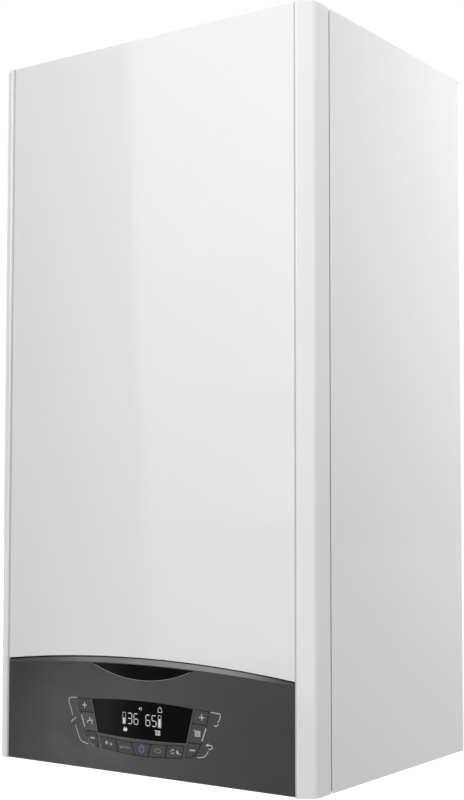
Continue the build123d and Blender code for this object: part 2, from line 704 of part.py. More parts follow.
def helix_path(centre, radius, pitch, turns, steps=4):
    """Helix along -Y, as two tangent arcs for each step of a turn."""
    angle_step = 2 * math.pi / steps
    climb = pitch / (2 * math.pi)

    def point(angle):
        return centre + Vector(radius * math.cos(angle), -climb * angle, radius * math.sin(angle))

    def tangent(angle):
        return Vector(-radius * math.sin(angle), -climb, radius * math.cos(angle)).normalized()

    arcs = []
    for i in range(turns * steps):
        start = point(i * angle_step)
        end = point((i + 1) * angle_step)
        way_in = tangent(i * angle_step)
        way_out = tangent((i + 1) * angle_step)
        chord = end - start
        along_both = chord.dot(way_in + way_out)
        spread = 2 * (1 - way_in.dot(way_out))
        reach = (math.sqrt(along_both**2 + spread * chord.dot(chord)) - along_both) / spread
        first = start + way_in * reach
        second = end - way_out * reach
        middle = (first + second) * 0.5
        arcs.append(Edge.make_tangent_arc(start, way_in, middle))
        arcs.append(Edge.make_tangent_arc(middle, second - first, end))
    return Wire(arcs)


def exchanger_coil():
    """Stainless coil inside the drum, one unbroken tube."""
    tube = 7.0
    radius = 88.0
    pitch = 15.2
    turns = 7
    centre = Vector(DRUM_X, -108, DRUM_Z)
    path = helix_path(centre, radius, pitch, turns)
    print("exchanger coil gap between turns", round(pitch - 2 * tube, 2), "length", round(path.length))
    mouth = Plane(origin=path @ 0, z_dir=path % 0)
    return sweep(mouth * Circle(tube), path=path) - sweep(mouth * Circle(tube - 1), path=path)


def burner():
    """Perforated burner tube with its mounting flange."""
    tube = rod((DRUM_X, -120, DRUM_Z), (DRUM_X, DRUM_FRONT, DRUM_Z), 35)
    tube += rod((DRUM_X, DRUM_FRONT + 3, DRUM_Z), (DRUM_X, DRUM_FRONT, DRUM_Z), 52)
    tube -= rod((DRUM_X, -121.5, DRUM_Z), (DRUM_X, DRUM_FRONT - 1, DRUM_Z), 33.5)
    port = 1.6
    for row in range(5):
        for turn in range(12):
            angle = math.radians(turn * 30 + (row % 2) * 15)
            y = -138 - row * 18
            outer = (DRUM_X + 40 * math.cos(angle), y, DRUM_Z + 40 * math.sin(angle))
            tube -= rod((DRUM_X, y, DRUM_Z), outer, port)
    return tube


def burner_door():
    """Cast door of the drum, with the mixture duct rising from the fan, bolts and a sight glass boss."""
    door = rod((DRUM_X, DRUM_FRONT, DRUM_Z), (DRUM_X, DOOR_FRONT, DRUM_Z), DRUM_R + 8)
    duct = block((-24, 24), (DOOR_FRONT - 38, DOOR_FRONT), (333, 556))
    duct = fillet(duct.edges().filter_by(Axis.Y), 14)
    duct = fillet(duct.faces().sort_by(Axis.Y)[0].edges(), 8)
    door += duct
    door += rod((-62, DOOR_FRONT, 560), (-62, DOOR_FRONT - 10, 560), 13)
    for i in range(8):
        angle = math.radians(22.5 + i * 45)
        x = DRUM_X + (DRUM_R - 2) * math.cos(angle)
        z = DRUM_Z + (DRUM_R - 2) * math.sin(angle)
        door += hex_rod((x, DOOR_FRONT, z), (x, DOOR_FRONT - 6, z), 11)
    for angle in range(0, 360, 30):
        if angle != 270 and angle != 90:
            turn = math.radians(angle)
            inner = (DRUM_X + 50 * math.cos(turn), DOOR_FRONT - 1, DRUM_Z + 50 * math.sin(turn))
            outer = (DRUM_X + 92 * math.cos(turn), DOOR_FRONT - 1, DRUM_Z + 92 * math.sin(turn))
            door += rod(inner, outer, 2.6)
    passage = block((-20, 20), (DOOR_FRONT - 34, DOOR_FRONT - 4), (337, 552))
    door -= fillet(passage.edges().filter_by(Axis.Y), 10)
    door -= block((-17, 17), (DOOR_FRONT - 5, DOOR_FRONT + 1), (342, 368))
    door -= rod((DRUM_X, DOOR_FRONT - 5, DRUM_Z), (DRUM_X, DRUM_FRONT + 1, DRUM_Z), 30)
    return door


def electrodes():
    """Two ignition electrodes and one flame sensor, with ceramic sleeves and plates on the door."""
    group = []
    for angle in ELECTRODE_ANGLES:
        x, z = electrode_place(angle)
        plate = block((x - 7, x + 7), (DOOR_FRONT - 3, DOOR_FRONT), (z - 6, z + 6))
        sleeve = rod((x, DOOR_FRONT - 2, z), (x, DOOR_FRONT - 20, z), 3.6)
        pin = rod((x, DOOR_FRONT - 19, z), (x, PIN_FRONT, z), PIN_R)
        group.append(plate + sleeve + pin)
    return group


def fan_housing():
    """Volute of the fan, with an inlet below and an outlet towards the door's duct."""
    outlet_x = (-20.0, 20.0)
    drum = rod((FAN_X, FAN_Y, FAN_BOTTOM), (FAN_X, FAN_Y, FAN_TOP), 60)
    throat = block(outlet_x, (DOOR_FRONT, FAN_Y), (FAN_BOTTOM, FAN_TOP))
    housing = drum + throat
    housing += block((-27, 27), (DOOR_FRONT, DOOR_FRONT + 4), (FAN_BOTTOM, FAN_TOP))
    for i in range(6):
        angle = math.radians(i * 60)
        x = FAN_X + 62 * math.cos(angle)
        y = FAN_Y + 62 * math.sin(angle)
        if x > -10:
            housing += rod((x, y, FAN_BOTTOM + 6), (x, y, FAN_TOP - 6), 5)
    housing -= rod((FAN_X, FAN_Y, FAN_BOTTOM + 3), (FAN_X, FAN_Y, FAN_TOP - 3), 55)
    housing -= block((-17, 17), (DOOR_FRONT - 1, FAN_Y), (FAN_BOTTOM + 4, FAN_TOP - 4))
    housing -= rod((FAN_X, FAN_Y, FAN_BOTTOM - 1), (FAN_X, FAN_Y, FAN_BOTTOM + 4), 22)
    housing -= rod((FAN_X, FAN_Y, FAN_TOP - 4), (FAN_X, FAN_Y, FAN_TOP + 1), 8)
    return housing


def fan_motor():
    """Motor cap on the fan, with cooling fins and a connector."""
    low = FAN_TOP
    high = 406.0
    motor = rod((FAN_X, FAN_Y, low), (FAN_X, FAN_Y, high), 31)
    motor = fillet(motor.edges().filter_by(GeomType.CIRCLE).sort_by(Axis.Z)[-1], 4)
    for i in range(12):
        motor += Pos(FAN_X, FAN_Y, 0) * Rot(0, 0, i * 30) * block((29, 35), (-1.2, 1.2), (low, high - 7))
    motor += block((FAN_X + 28, FAN_X + 46), (FAN_Y - 10, FAN_Y + 10), (low, low + 14))
    return motor - rod((FAN_X, FAN_Y, low - 1), (FAN_X, FAN_Y, 396), FAN_SHAFT + RUNNING)


def fan_impeller():
    """Fan wheel with backward-leaning blades on its shaft."""
    low = 341.0
    wheel = rod((FAN_X, FAN_Y, 366), (FAN_X, FAN_Y, 368), 47)
    wheel += rod((FAN_X, FAN_Y, low + 6), (FAN_X, FAN_Y, 368), 9)
    for i in range(14):
        blade = block((20, 46), (-0.8, 0.8), (low, 366.5))
        turn = Pos(FAN_X, FAN_Y, 0) * Rot(0, 0, i * 360 / 14)
        lean = Pos(33, 0, 0) * Rot(0, 0, 28) * Pos(-33, 0, 0)
        wheel += turn * lean * blade
    return wheel + rod((FAN_X, FAN_Y, low + 6), (FAN_X, FAN_Y, 394), FAN_SHAFT)


def air_gas_mixer():
    """Venturi below the fan, with a side port for gas."""
    low = 290.0
    body = rod((FAN_X, FAN_Y, low), (FAN_X, FAN_Y, FAN_BOTTOM), 25)
    body += rod((FAN_X, FAN_Y, FAN_BOTTOM - 5), (FAN_X, FAN_Y, FAN_BOTTOM), 33)
    body += rod((FAN_X, FAN_Y, low), (FAN_X, FAN_Y, low + 5), 30)
    body += rod((FAN_X, FAN_Y, 308), (94, FAN_Y, 308), 11)
    body -= rod((FAN_X, FAN_Y, low - 1), (FAN_X, FAN_Y, FAN_BOTTOM + 1), 18)
    return body - rod((FAN_X, FAN_Y, 308), (95, FAN_Y, 308), 7)


def gas_valve():
    """Gas valve block with two coil caps, an adjusting cap, test nipples and a plug."""
    body = soft_block((94, 160), (-205, -132), (246, 326), 6, Axis.Z)
    for z in (268, 304):
        body += rod((118, -205, z), (118, -230, z), 14)
        body += rod((118, -230, z), (118, -233, z), 10)
    body += rod((147, -205, 286), (147, -216, 286), 8)
    body += rod((147, -205, 312), (147, -214, 312), 4)
    body += rod((147, -205, 260), (147, -214, 260), 4)
    body += block((138, 156), (-190, -160), (326, 338))
    body += hex_rod((127, FAN_Y, 246), (127, FAN_Y, 234), 26)
    return body - rod((94 - 1, FAN_Y, 308), (104, FAN_Y, 308), 7)


def gas_pipe():
    """Gas pipe from the connection below the casing to the valve, with its union nuts."""
    points = [(127, FAN_Y, 234), (127, FAN_Y, 165), (0, STUB_Y, 165), (0, STUB_Y, 0)]
    tube = pipe(points, PIPE_R, 22)
    tube += rod((0, STUB_Y, 26), (0, STUB_Y, STUB_END), THREE_QUARTER)
    tube += hex_rod((0, STUB_Y, NUT_LOW), (0, STUB_Y, 22), 30)
    tube += hex_rod((127, FAN_Y, 234), (127, FAN_Y, 224), 24)
    return tube - rod((0, STUB_Y, 20), (0, STUB_Y, STUB_END - 1), 8)


def air_silencer():
    """Black air intake: a box with a grille and an elbow up to the venturi."""
    box = soft_block((-150, -28), (-190, -92), (196, 268), 12, Axis.Y)
    box += pipe([(-29, FAN_Y, 240), (FAN_X, FAN_Y, 240), (FAN_X, FAN_Y, 290)], 25, 26)
    box -= pipe([(-40, FAN_Y, 240), (FAN_X, FAN_Y, 240), (FAN_X, FAN_Y, 291)], 22, 26)
    box -= block((-147, -31), (-187, -95), (199, 265))
    for i in range(8):
        x = -140 + i * 13
        box -= block((x, x + 7), (-191, -186), (210, 254))
    return box


def exhaust_pipe():
    """Flue pipe from the drum to the collar, with a seal bead at each end."""
    low = 641.0
    high = 740.0
    outer = rod((FLUE_X, FLUE_Y, low), (FLUE_X, FLUE_Y, high), 38)
    for z in (low, high - 10):
        outer += rod((FLUE_X, FLUE_Y, z), (FLUE_X, FLUE_Y, z + 10), 41)
    return outer - rod((FLUE_X, FLUE_Y, low - 1), (FLUE_X, FLUE_Y, high + 1), 36)


def flue_collar():
    """Coaxial flue and air collar on the top plate, with two capped test points."""
    base = HEIGHT
    ring = soft_block((-70, 70), (FLUE_Y - 70, FLUE_Y + 69), (base, base + 2.5), 12, Axis.Z)
    collar = ring + rod((FLUE_X, FLUE_Y, base), (FLUE_X, FLUE_Y, 772), FLUE_OUTER)
    collar -= rod((FLUE_X, FLUE_Y, base - 1), (FLUE_X, FLUE_Y, 773), FLUE_OUTER - 2)
    web = rod((FLUE_X, FLUE_Y, base), (FLUE_X, FLUE_Y, base + 2.5), FLUE_OUTER)
    for i in range(8):
        angle = math.radians(i * 45 + 22.5)
        x = FLUE_X + 40.5 * math.cos(angle)
        y = FLUE_Y + 40.5 * math.sin(angle)
        web -= rod((x, y, base - 1), (x, y, base + 4), 6)
    inner = rod((FLUE_X, FLUE_Y, 741), (FLUE_X, FLUE_Y, 776), FLUE_INNER_BORE + 2)
    inner += rod((FLUE_X, FLUE_Y, 740), (FLUE_X, FLUE_Y, 743), 44)
    collar += web + inner
    collar -= rod((FLUE_X, FLUE_Y, 739), (FLUE_X, FLUE_Y, 777), FLUE_INNER_BORE)
    for x in (-38.0, 38.0):
        collar += rod((x, FLUE_Y - 59, base + 2), (x, FLUE_Y - 59, base + 9), 8)
        collar += rod((x, FLUE_Y - 59, base + 9), (x, FLUE_Y - 59, base + 13), 6)
    for point in COLLAR_SCREWS:
        collar -= screw_hole(point, DOWN)
    return collar


def ignition_transformer():
    """Spark transformer on the left wall of the chamber."""
    body = soft_block((-198.8, -160), (-240, -192), (296, 376), 4, Axis.Z)
    return body + rod((-172, -216, 376), (-172, -216, 392), 5)


def ignition_lead():
    """High tension lead from the transformer to the upper electrode."""
    core = 2.4
    x, z = electrode_place(ELECTRODE_ANGLES[0])
    y = PIN_FRONT + 1
    points = [(-172, -216, 392), (-172, -216, 440), (-166, -258, 500), (-120, -278, 580), (-40, -279, 632)]
    points += [(36, y, 638), (x, y, 608), (x, y, z + 9)]
    radii = bend_radii(points)
    print("ignition lead radii", [round(r) for r in radii])
    path = FilletPolyline(*points, radius=radii)
    mouth = Plane(origin=path @ 0, z_dir=path % 0)
    lead = sweep(mouth * Circle(core), path=path)
    share = lead.volume / (math.pi * core**2 * path.length)
    print("ignition lead length", round(path.length), "volume share", round(share, 3))
    boot = rod((x, y - 5, z), (x, y + 6, z), 5) + rod((x, y, z), (x, y, z + 10), 4)
    return lead + boot - rod((x, PIN_FRONT - 0.1, z), (x, y + 7, z), PIN_R + RUNNING)


def bend_radii(points):
    """Largest equal-share bend radius at each inner point of a route."""
    radii = []
    for before, here, after in zip(points, points[1:], points[2:]):
        run_in = Vector(*here) - Vector(*before)
        run_out = Vector(*after) - Vector(*here)
        turn = math.radians(run_in.get_angle(run_out))
        radii.append(0.45 * min(run_in.length, run_out.length) / math.tan(turn / 2))
    return radii


def expansion_vessel():
    """Flat expansion vessel of two pressed shells with a welded rim, a charging valve and a water port."""
    x = (-165.0, 165.0)
    z = (216.0, 700.0)
    y = (-76.0, -8.0)
    wall = 1.4
    corner = 60.0
    edge = 16.0
    lip = 4.0

    def pressed(inset):
        spans = [(low + inset, high - inset) for low, high in (x, y, z)]
        shape = block(*spans)
        shape = fillet(shape.edges().filter_by(Axis.Y), corner - inset)
        flats = shape.faces().sort_by(Axis.Y)
        return fillet(flats[0].edges() + flats[-1].edges(), edge - inset)

    rim = block((x[0] - lip, x[1] + lip), (-43.5, -41), (z[0] - lip, z[1] + lip))
    rim = fillet(rim.edges().filter_by(Axis.Y), corner + lip)
    vessel = pressed(0.0) + rim - pressed(wall)
    vessel += rod((-140, y[0] + 0.5, 640), (-140, y[0] - 14, 640), 5)
    return vessel + rod((100, -42, z[0] + 1), (100, -42, z[0] - 16), 8)


def vessel_pipe():
    """Small copper pipe from the vessel down to the return block."""
    tube = pipe([(100, -42, 200), (100, -42, 116), (115, -75, 116), (150, -75, 116), (150, -75, 84)], 5, 7.5)
    return tube + hex_rod((100, -42, 200), (100, -42, 186), 20)


# Water side, below the chamber
def flow_pipe():
    """Copper pipe from the drum's flow port down to the left block."""
    tube = pipe([(-128, -120, 560), (-170, -120, 560), (-170, -120, 104)], PIPE_R, 24)
    tube += hex_rod((-128, -120, 560), (-140, -120, 560), 27)
    return tube + hex_rod((-170, -120, 104), (-170, -120, 118), 27)


def return_pipe():
    """Copper pipe from the right block up to the drum's return port."""
    tube = pipe([(128, -120, 480), (175, -120, 480), (175, -120, 104)], PIPE_R, 24)
    tube += hex_rod((128, -120, 480), (140, -120, 480), 27)
    return tube + hex_rod((175, -120, 104), (175, -120, 118), 27)


def exchanger_arms(sign):
    """Two short arms from a block to the ports of the plate exchanger."""
    x = sign * 78.0
    arms = rod((x, STUB_Y, 60), (x, -62, 60), 10) + rod((x, STUB_Y, 96), (x, -62, 96), 10)
    return arms + rod((x, STUB_Y, 50), (x, STUB_Y, 104), 12)


def flow_block():
    """Left hydraulic block: flow stub, hot water stub, diverter chamber and pipe ports."""
    left = -2 * STUB_PITCH
    hot = -STUB_PITCH
    body = soft_block((-182, -105), (-200, -92), (40, 92), 8, Axis.Z)
    body += rod((-170, -120, 88), (-170, -120, 104), 14)
    body += rod((left, STUB_Y, 42), (left, STUB_Y, STUB_END), THREE_QUARTER)
    body += hex_rod((left, STUB_Y, NUT_LOW), (left, STUB_Y, 24), 30)
    body += rod((hot, STUB_Y, 60), (hot, STUB_Y, 20), 13)
    body += rod((hot, STUB_Y, 22), (hot, STUB_Y, STUB_END), HALF_INCH)
    body += hex_rod((hot, STUB_Y, NUT_LOW), (hot, STUB_Y, 20), 25)
    body += rod((hot, STUB_Y, 60), (-110, STUB_Y, 60), 11)
    body += exchanger_arms(-1)
    body += rod((DIVERTER_X, -199, DIVERTER_Z), (DIVERTER_X, -205, DIVERTER_Z), 18)
    body -= rod((DIVERTER_X, -150, DIVERTER_Z), (DIVERTER_X, -185, DIVERTER_Z), 11)
    body -= rod((DIVERTER_X, -184, DIVERTER_Z), (DIVERTER_X, -206, DIVERTER_Z), STEM_R + RUNNING)
    body -= rod((left, STUB_Y, 20), (left, STUB_Y, STUB_END - 1), 9)
    return body - rod((hot, STUB_Y, 20), (hot, STUB_Y, STUB_END - 1), 7)


def diverter_motor():
    """Clip-on motor of the diverter valve."""
    motor = soft_block((-160, -110), (-248, -210), (44, 90), 5, Axis.Y)
    motor += rod((DIVERTER_X, -210, DIVERTER_Z), (DIVERTER_X, -205, DIVERTER_Z), 20)
    motor += block((-150, -120), (-240, -218), (89, 100))
    return motor - rod((DIVERTER_X, -243, DIVERTER_Z), (DIVERTER_X, -204, DIVERTER_Z), STEM_R + RUNNING)


def diverter_stem():
    """Stem and seat disc that swing the flow between heating and hot water."""
    stem = rod((DIVERTER_X, -232, DIVERTER_Z), (DIVERTER_X, -168, DIVERTER_Z), STEM_R)
    return stem + rod((DIVERTER_X, -173, DIVERTER_Z), (DIVERTER_X, -169, DIVERTER_Z), 9)


def plate_exchanger():
    """Brazed plate exchanger lying across the back, with four port rings."""
    pack = soft_block((-92, 92), (-57, -17), (46, 110), 14, Axis.Y)
    for i in range(12):
        y = -56 + i * 3.3
        pack += soft_block((-95, 95), (y, y + 1.4), (43, 113), 16, Axis.Y)
    for x in (-78, 78):
        for z in (60, 96):
            pack += rod((x, -55, z), (x, -62, z), 12)
    return pack


def return_block():
    """Right hydraulic block: return stub, cold arm, pump volute, safety valve, vent and filling tap."""
    right = 2 * STUB_PITCH
    cold = STUB_PITCH
    body = soft_block((100, 186), (-158, -92), (36, 92), 8, Axis.Z)
    body += rod((PUMP_X, -157, PUMP_Z), (PUMP_X, -200, PUMP_Z), 43)
    body += rod((175, -120, 88), (175, -120, 104), 14)
    body += rod((right, STUB_Y, 40), (right, STUB_Y, STUB_END), THREE_QUARTER)
    body += hex_rod((right, STUB_Y, NUT_LOW), (right, STUB_Y, 24), 30)
    body += rod((cold, STUB_Y, 60), (cold, STUB_Y, 46), 13)
    body += rod((cold, STUB_Y, 60), (104, STUB_Y, 60), 11)
    body += exchanger_arms(1)
    body += rod((SAFETY_X, STUB_Y, SAFETY_Z), (SAFETY_X, -168, SAFETY_Z), 9)
    body += rod((SAFETY_X, -164, SAFETY_Z), (SAFETY_X, -192, SAFETY_Z), 14)
    body += rod((SAFETY_X, -178, SAFETY_Z), (SAFETY_X, -178, -16), 7)
    body += rod((SAFETY_X, -178, 20), (SAFETY_X, -178, NUT_LOW), 8.5)
    body += rod((cold, STUB_Y, 58), (TAP_X, TAP_Y, 58), 7)
    body += rod((TAP_X, TAP_Y, 66), (TAP_X, TAP_Y, 8), 11)
    body += rod((VENT_X, VENT_Y, 90), (VENT_X, VENT_Y, 112), 13)
    body += rod((VENT_X, VENT_Y, 112), (VENT_X, VENT_Y, 116), 6)
    body += rod((150, -94, 76), (150, -75, 76), 6) + rod((150, -75, 70), (150, -75, 84), 7)
    body -= rod((PUMP_X, -165, PUMP_Z), (PUMP_X, -201, PUMP_Z), 30)
    body -= rod((right, STUB_Y, 20), (right, STUB_Y, STUB_END - 1), 9)
    body -= rod((SAFETY_X, -178, 40), (SAFETY_X, -178, -17), 5)
    body -= rod((SAFETY_X, -180, SAFETY_Z), (SAFETY_X, -193, SAFETY_Z), 3 + RUNNING)
    body -= rod((TAP_X, TAP_Y, 30), (TAP_X, TAP_Y, 7), 4 + RUNNING)
    return body - rod((VENT_X, VENT_Y, 106), (VENT_X, VENT_Y, 117), 2 + RUNNING)


def pump_motor():
    """Pump motor with a finned casing, a terminal box and a vent screw."""
    rear = -200.0
    front = -250.0
    motor = rod((PUMP_X, rear, PUMP_Z), (PUMP_X, front, PUMP_Z), 37)
    motor = fillet(motor.edges().filter_by(GeomType.CIRCLE).sort_by(Axis.Y)[0], 5)
    motor += rod((PUMP_X, rear, PUMP_Z), (PUMP_X, rear - 5, PUMP_Z), 42)
    for i in range(18):
        fin = block((35, 41), (front + 10, rear - 5), (-1.2, 1.2))
        motor += Pos(PUMP_X, 0, PUMP_Z) * Rot(0, i * 20, 0) * fin
    motor += block((PUMP_X - 22, PUMP_X + 22), (front + 8, rear - 6), (PUMP_Z + 32, PUMP_Z + 52))
    motor += rod((PUMP_X, front + 1, PUMP_Z), (PUMP_X, front - 2, PUMP_Z), 9)
    return motor - rod((PUMP_X, rear + 1, PUMP_Z), (PUMP_X, -232, PUMP_Z), PUMP_SHAFT + RUNNING)


def pump_impeller():
    """Pump wheel with curved vanes on its shaft."""
    wheel = rod((PUMP_X, -192, PUMP_Z), (PUMP_X, -189, PUMP_Z), 27)
    wheel += rod((PUMP_X, -192, PUMP_Z), (PUMP_X, -172, PUMP_Z), 7)
    for i in range(7):
        vane = block((8, 26), (-189.5, -175), (-0.9, 0.9))
        turn = Pos(PUMP_X, 0, PUMP_Z) * Rot(0, i * 360 / 7, 0)
        lean = Pos(14, 0, 0) * Rot(0, 25, 0) * Pos(-14, 0, 0)
        wheel += turn * lean * vane
    return wheel + rod((PUMP_X, -228, PUMP_Z), (PUMP_X, -172, PUMP_Z), PUMP_SHAFT)


def flow_sensor():
    """Turbine flow sensor on the cold inlet, with its stub and plug."""
    cold = STUB_PITCH
    body = rod((cold, STUB_Y, 46), (cold, STUB_Y, 20), 15)
    body += hex_rod((cold, STUB_Y, NUT_LOW), (cold, STUB_Y, 21), 25)
    body += rod((cold, STUB_Y, 22), (cold, STUB_Y, STUB_END), HALF_INCH)
    body += block((cold - 8, cold + 8), (STUB_Y - 26, STUB_Y - 10), (27, 41))
    return body - rod((cold, STUB_Y, 40), (cold, STUB_Y, STUB_END - 1), 7)


def safety_valve_knob():
    """Ribbed knob that lifts the safety valve."""
    knob = rod((SAFETY_X, -193, SAFETY_Z), (SAFETY_X, -212, SAFETY_Z), 13)
    for i in range(12):
        angle = math.radians(i * 30)
        x = SAFETY_X + 13.2 * math.cos(angle)
        z = SAFETY_Z + 13.2 * math.sin(angle)
        knob += rod((x, -194, z), (x, -211, z), 1.6)
    return knob + rod((SAFETY_X, -194, SAFETY_Z), (SAFETY_X, -183, SAFETY_Z), 3)


def filling_tap_knob():
    """Filling tap knob under the casing, with a fluted grip."""
    knob = rod((TAP_X, TAP_Y, -6), (TAP_X, TAP_Y, -24), 14)
    for i in range(10):
        angle = math.radians(i * 36)
        x = TAP_X + 15.5 * math.cos(angle)
        y = TAP_Y + 15.5 * math.sin(angle)
        knob -= rod((x, y, -5), (x, y, -25), 3)
    return knob + rod((TAP_X, TAP_Y, -7), (TAP_X, TAP_Y, 26), 4)


def air_vent_cap():
    """Small screw cap of the automatic air vent."""
    cap = rod((VENT_X, VENT_Y, 117), (VENT_X, VENT_Y, 124), 5)
    cap += block((VENT_X - 1, VENT_X + 1), (VENT_Y - 6, VENT_Y + 6), (118, 123))
    return cap + rod((VENT_X, VENT_Y, 108), (VENT_X, VENT_Y, 118), 2)


def condensate_trap():
    """Condensate trap of four rings: outlet tail, base with a grip, cup wall, and head with the inlet spigot."""
    x = TRAP_X
    y = TRAP_Y
    trap = rod((x, y, 34), (x, y, 112), 26)
    trap += rod((x, y, 24), (x, y, 40), 29)
    trap += rod((x, y, 100), (x, y, 112), 29)
    trap += rod((x, y, 112), (x, y, TRAP_SHOULDER), 14)
    trap += rod((x, y, TRAP_SHOULDER), (x, y, TRAP_SHOULDER + SPIGOT), SPIGOT_R)
    for i in range(12):
        angle = math.radians(i * 30)
        grip_x = x + 29 * math.cos(angle)
        grip_y = y + 29 * math.sin(angle)
        trap += rod((grip_x, grip_y, 25), (grip_x, grip_y, 39), 1.2)
    trap += rod((x, y, 26), (x, y, -16), 10.5) + rod((x, y, 26), (x, y, NUT_LOW), 12.5)
    trap -= rod((x, y, 44), (x, y, 97), 23)
    trap -= rod((x, y, 96), (x, y, TRAP_SHOULDER + SPIGOT + 1), SPIGOT_R - 2)
    trap -= rod((x, y, 45), (x, y, -17), 7.5)
    return [(trap & block((x - 31, x + 31), (y - 31, y + 31), span)).solid() for span in TRAP_RINGS]


def condensate_hose():
    """Ribbed hose from the drain of the drum down to the trap, with plain cuffs."""
    low = TRAP_SHOULDER + 0.5
    high = DRAIN_SHOULDER - 0.5
    cuff = 18.0
    bore = SPIGOT_R + 0.2
    groove = 9.6
    crest = 11.2
    ribs = 54
    pitch = (high - low - 2 * cuff) / ribs
    outline = [(bore, low), (crest, low), (crest, low + cuff)]
    for i in range(ribs):
        z = low + cuff + i * pitch
        outline += [(groove, z + 0.3 * pitch), (groove, z + 0.6 * pitch), (crest, z + 0.85 * pitch)]
    outline += [(crest, high), (bore, high)]
    profile = make_face(Plane.XZ * Polyline(*outline, close=True))
    return Pos(TRAP_X, TRAP_Y, 0) * revolve(profile, Axis.Z)


def main():
    os.makedirs("parts", exist_ok=True)
    right_side = side_panel()
    nodes = {
        "back_plate": back_plate(),
        "side_panel_right": right_side,
        "side_panel_left": mirrored(right_side),
        "top_plate": top_plate(),
        "bottom_plate": bottom_plate(),
        "chamber_floor": chamber_floor(),
        "chamber_gasket": chamber_gasket(),
        "chamber_panel": chamber_panel(),
        "frame_screws": frame_screws(),
        "front_cover": front_cover(),
        "cover_lining": cover_lining(),
        "cover_screws": cover_screws(),
        "control_fascia": control_fascia(),
        "badge_plate": badge_plate(),
        "display_lens": display_lens(),
        "display_module": display_module(),
        "control_box": control_box(),
        "main_board": main_board(),
        "exchanger_shell": exchanger_shell(),
        "exchanger_coil": exchanger_coil(),
        "burner": burner(),
        "burner_door": burner_door(),
        "electrodes": electrodes(),
        "fan_housing": fan_housing(),
        "fan_motor": fan_motor(),
        "fan_impeller": fan_impeller(),
        "air_gas_mixer": air_gas_mixer(),
        "gas_valve": gas_valve(),
        "gas_pipe": gas_pipe(),
        "air_silencer": air_silencer(),
        "exhaust_pipe": exhaust_pipe(),
        "flue_collar": flue_collar(),
        "ignition_transformer": ignition_transformer(),
        "ignition_lead": ignition_lead(),
        "expansion_vessel": expansion_vessel(),
        "vessel_pipe": vessel_pipe(),
        "flow_pipe": flow_pipe(),
        "return_pipe": return_pipe(),
        "flow_block": flow_block(),
        "diverter_motor": diverter_motor(),
        "diverter_stem": diverter_stem(),
        "plate_exchanger": plate_exchanger(),
        "return_block": return_block(),
        "pump_motor": pump_motor(),
        "pump_impeller": pump_impeller(),
        "flow_sensor": flow_sensor(),
        "safety_valve_knob": safety_valve_knob(),
        "filling_tap_knob": filling_tap_knob(),
        "air_vent_cap": air_vent_cap(),
        "condensate_trap": condensate_trap(),
        "condensate_hose": condensate_hose(),
    }
    for name, points in KEYS.items():
        nodes[name] = key(points)
    for name, shape in nodes.items():
        save(name, shape)
    print(len(nodes), "nodes written")


main()
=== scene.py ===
# %% [markdown]
# A wall-hung condensing boiler, dressed around its solids. The solids come in as a fixed frame in metres.
# The wall is at y = 0, the front looks towards -Y, and z = 0 is the casing's bottom edge. They carry the
# construction, so nothing here moves them. This lesson gives each of them its finish, adds the pieces
# that are too fine for the solids, and ends with the studio.

# %% Load the frame
import math

import bmesh
import bpy
from mathutils import Matrix, Vector


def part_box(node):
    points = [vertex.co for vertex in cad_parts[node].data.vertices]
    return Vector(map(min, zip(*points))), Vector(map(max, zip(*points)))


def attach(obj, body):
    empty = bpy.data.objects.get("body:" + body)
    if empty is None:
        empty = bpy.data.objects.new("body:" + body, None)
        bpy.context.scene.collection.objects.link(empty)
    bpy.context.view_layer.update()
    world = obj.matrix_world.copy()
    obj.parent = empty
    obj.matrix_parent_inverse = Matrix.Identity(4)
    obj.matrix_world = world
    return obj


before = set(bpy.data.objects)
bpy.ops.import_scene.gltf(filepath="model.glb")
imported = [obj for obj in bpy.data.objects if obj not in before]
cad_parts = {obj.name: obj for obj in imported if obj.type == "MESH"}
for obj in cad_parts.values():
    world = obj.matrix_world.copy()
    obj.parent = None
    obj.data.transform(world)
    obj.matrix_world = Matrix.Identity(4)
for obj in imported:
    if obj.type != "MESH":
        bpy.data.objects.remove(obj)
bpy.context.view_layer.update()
MM = 0.001

# %% [markdown]
# The camera comes first, because everything after it is judged through it. A product shot like this one
# is taken with a long lens from the right and slightly below the middle, so the uprights stay almost
# parallel. The lens and the standing point were solved from the casing's own edges. The small shift puts
# the picture's optical centre where it was, which keeps the uprights as they are; turning the camera
# instead would tilt them.

# %% Camera
PICTURE_WIDTH = 464
PICTURE_HEIGHT = 800
FOCAL_PIXELS = 1383.1
OPTICAL_CENTRE = (251.7, 420.7)
YAW = math.radians(34.531)
PITCH = math.radians(3.451)
camera_data = bpy.data.cameras.new("photo_camera")
camera_data.sensor_width = 36.0
camera_data.lens = FOCAL_PIXELS / PICTURE_HEIGHT * camera_data.sensor_width
camera_data.shift_x = (PICTURE_WIDTH / 2 - OPTICAL_CENTRE[0]) / PICTURE_HEIGHT
camera_data.shift_y = (OPTICAL_CENTRE[1] - PICTURE_HEIGHT / 2) / PICTURE_HEIGHT
camera_data.clip_start = 0.05
camera_data.clip_end = 60.0
camera = bpy.data.objects.new("photo_camera", camera_data)
camera.location = Vector((878.0, -1399.4, 269.0)) * MM
camera.rotation_euler = (math.pi / 2 + PITCH, 0.0, YAW)
bpy.context.scene.collection.objects.link(camera)
bpy.context.scene.camera = camera
print("lens", round(camera_data.lens, 2), "mm")

# %% [markdown]
# A finish is one Principled surface whose colour, roughness and small relief come from patterns laid out
# in the object's own metres. Image textures would need files and UV maps; patterns on Object coordinates
# stay at their real size on any piece and survive the export. The helpers in this cell and the next two
# add one pattern at a time, so each finish reads as a short recipe.

# %% Helpers for finishes
FINISHES = {}


def surface(material):
    """The material's shader node."""
    return material.node_tree.nodes["Principled BSDF"]


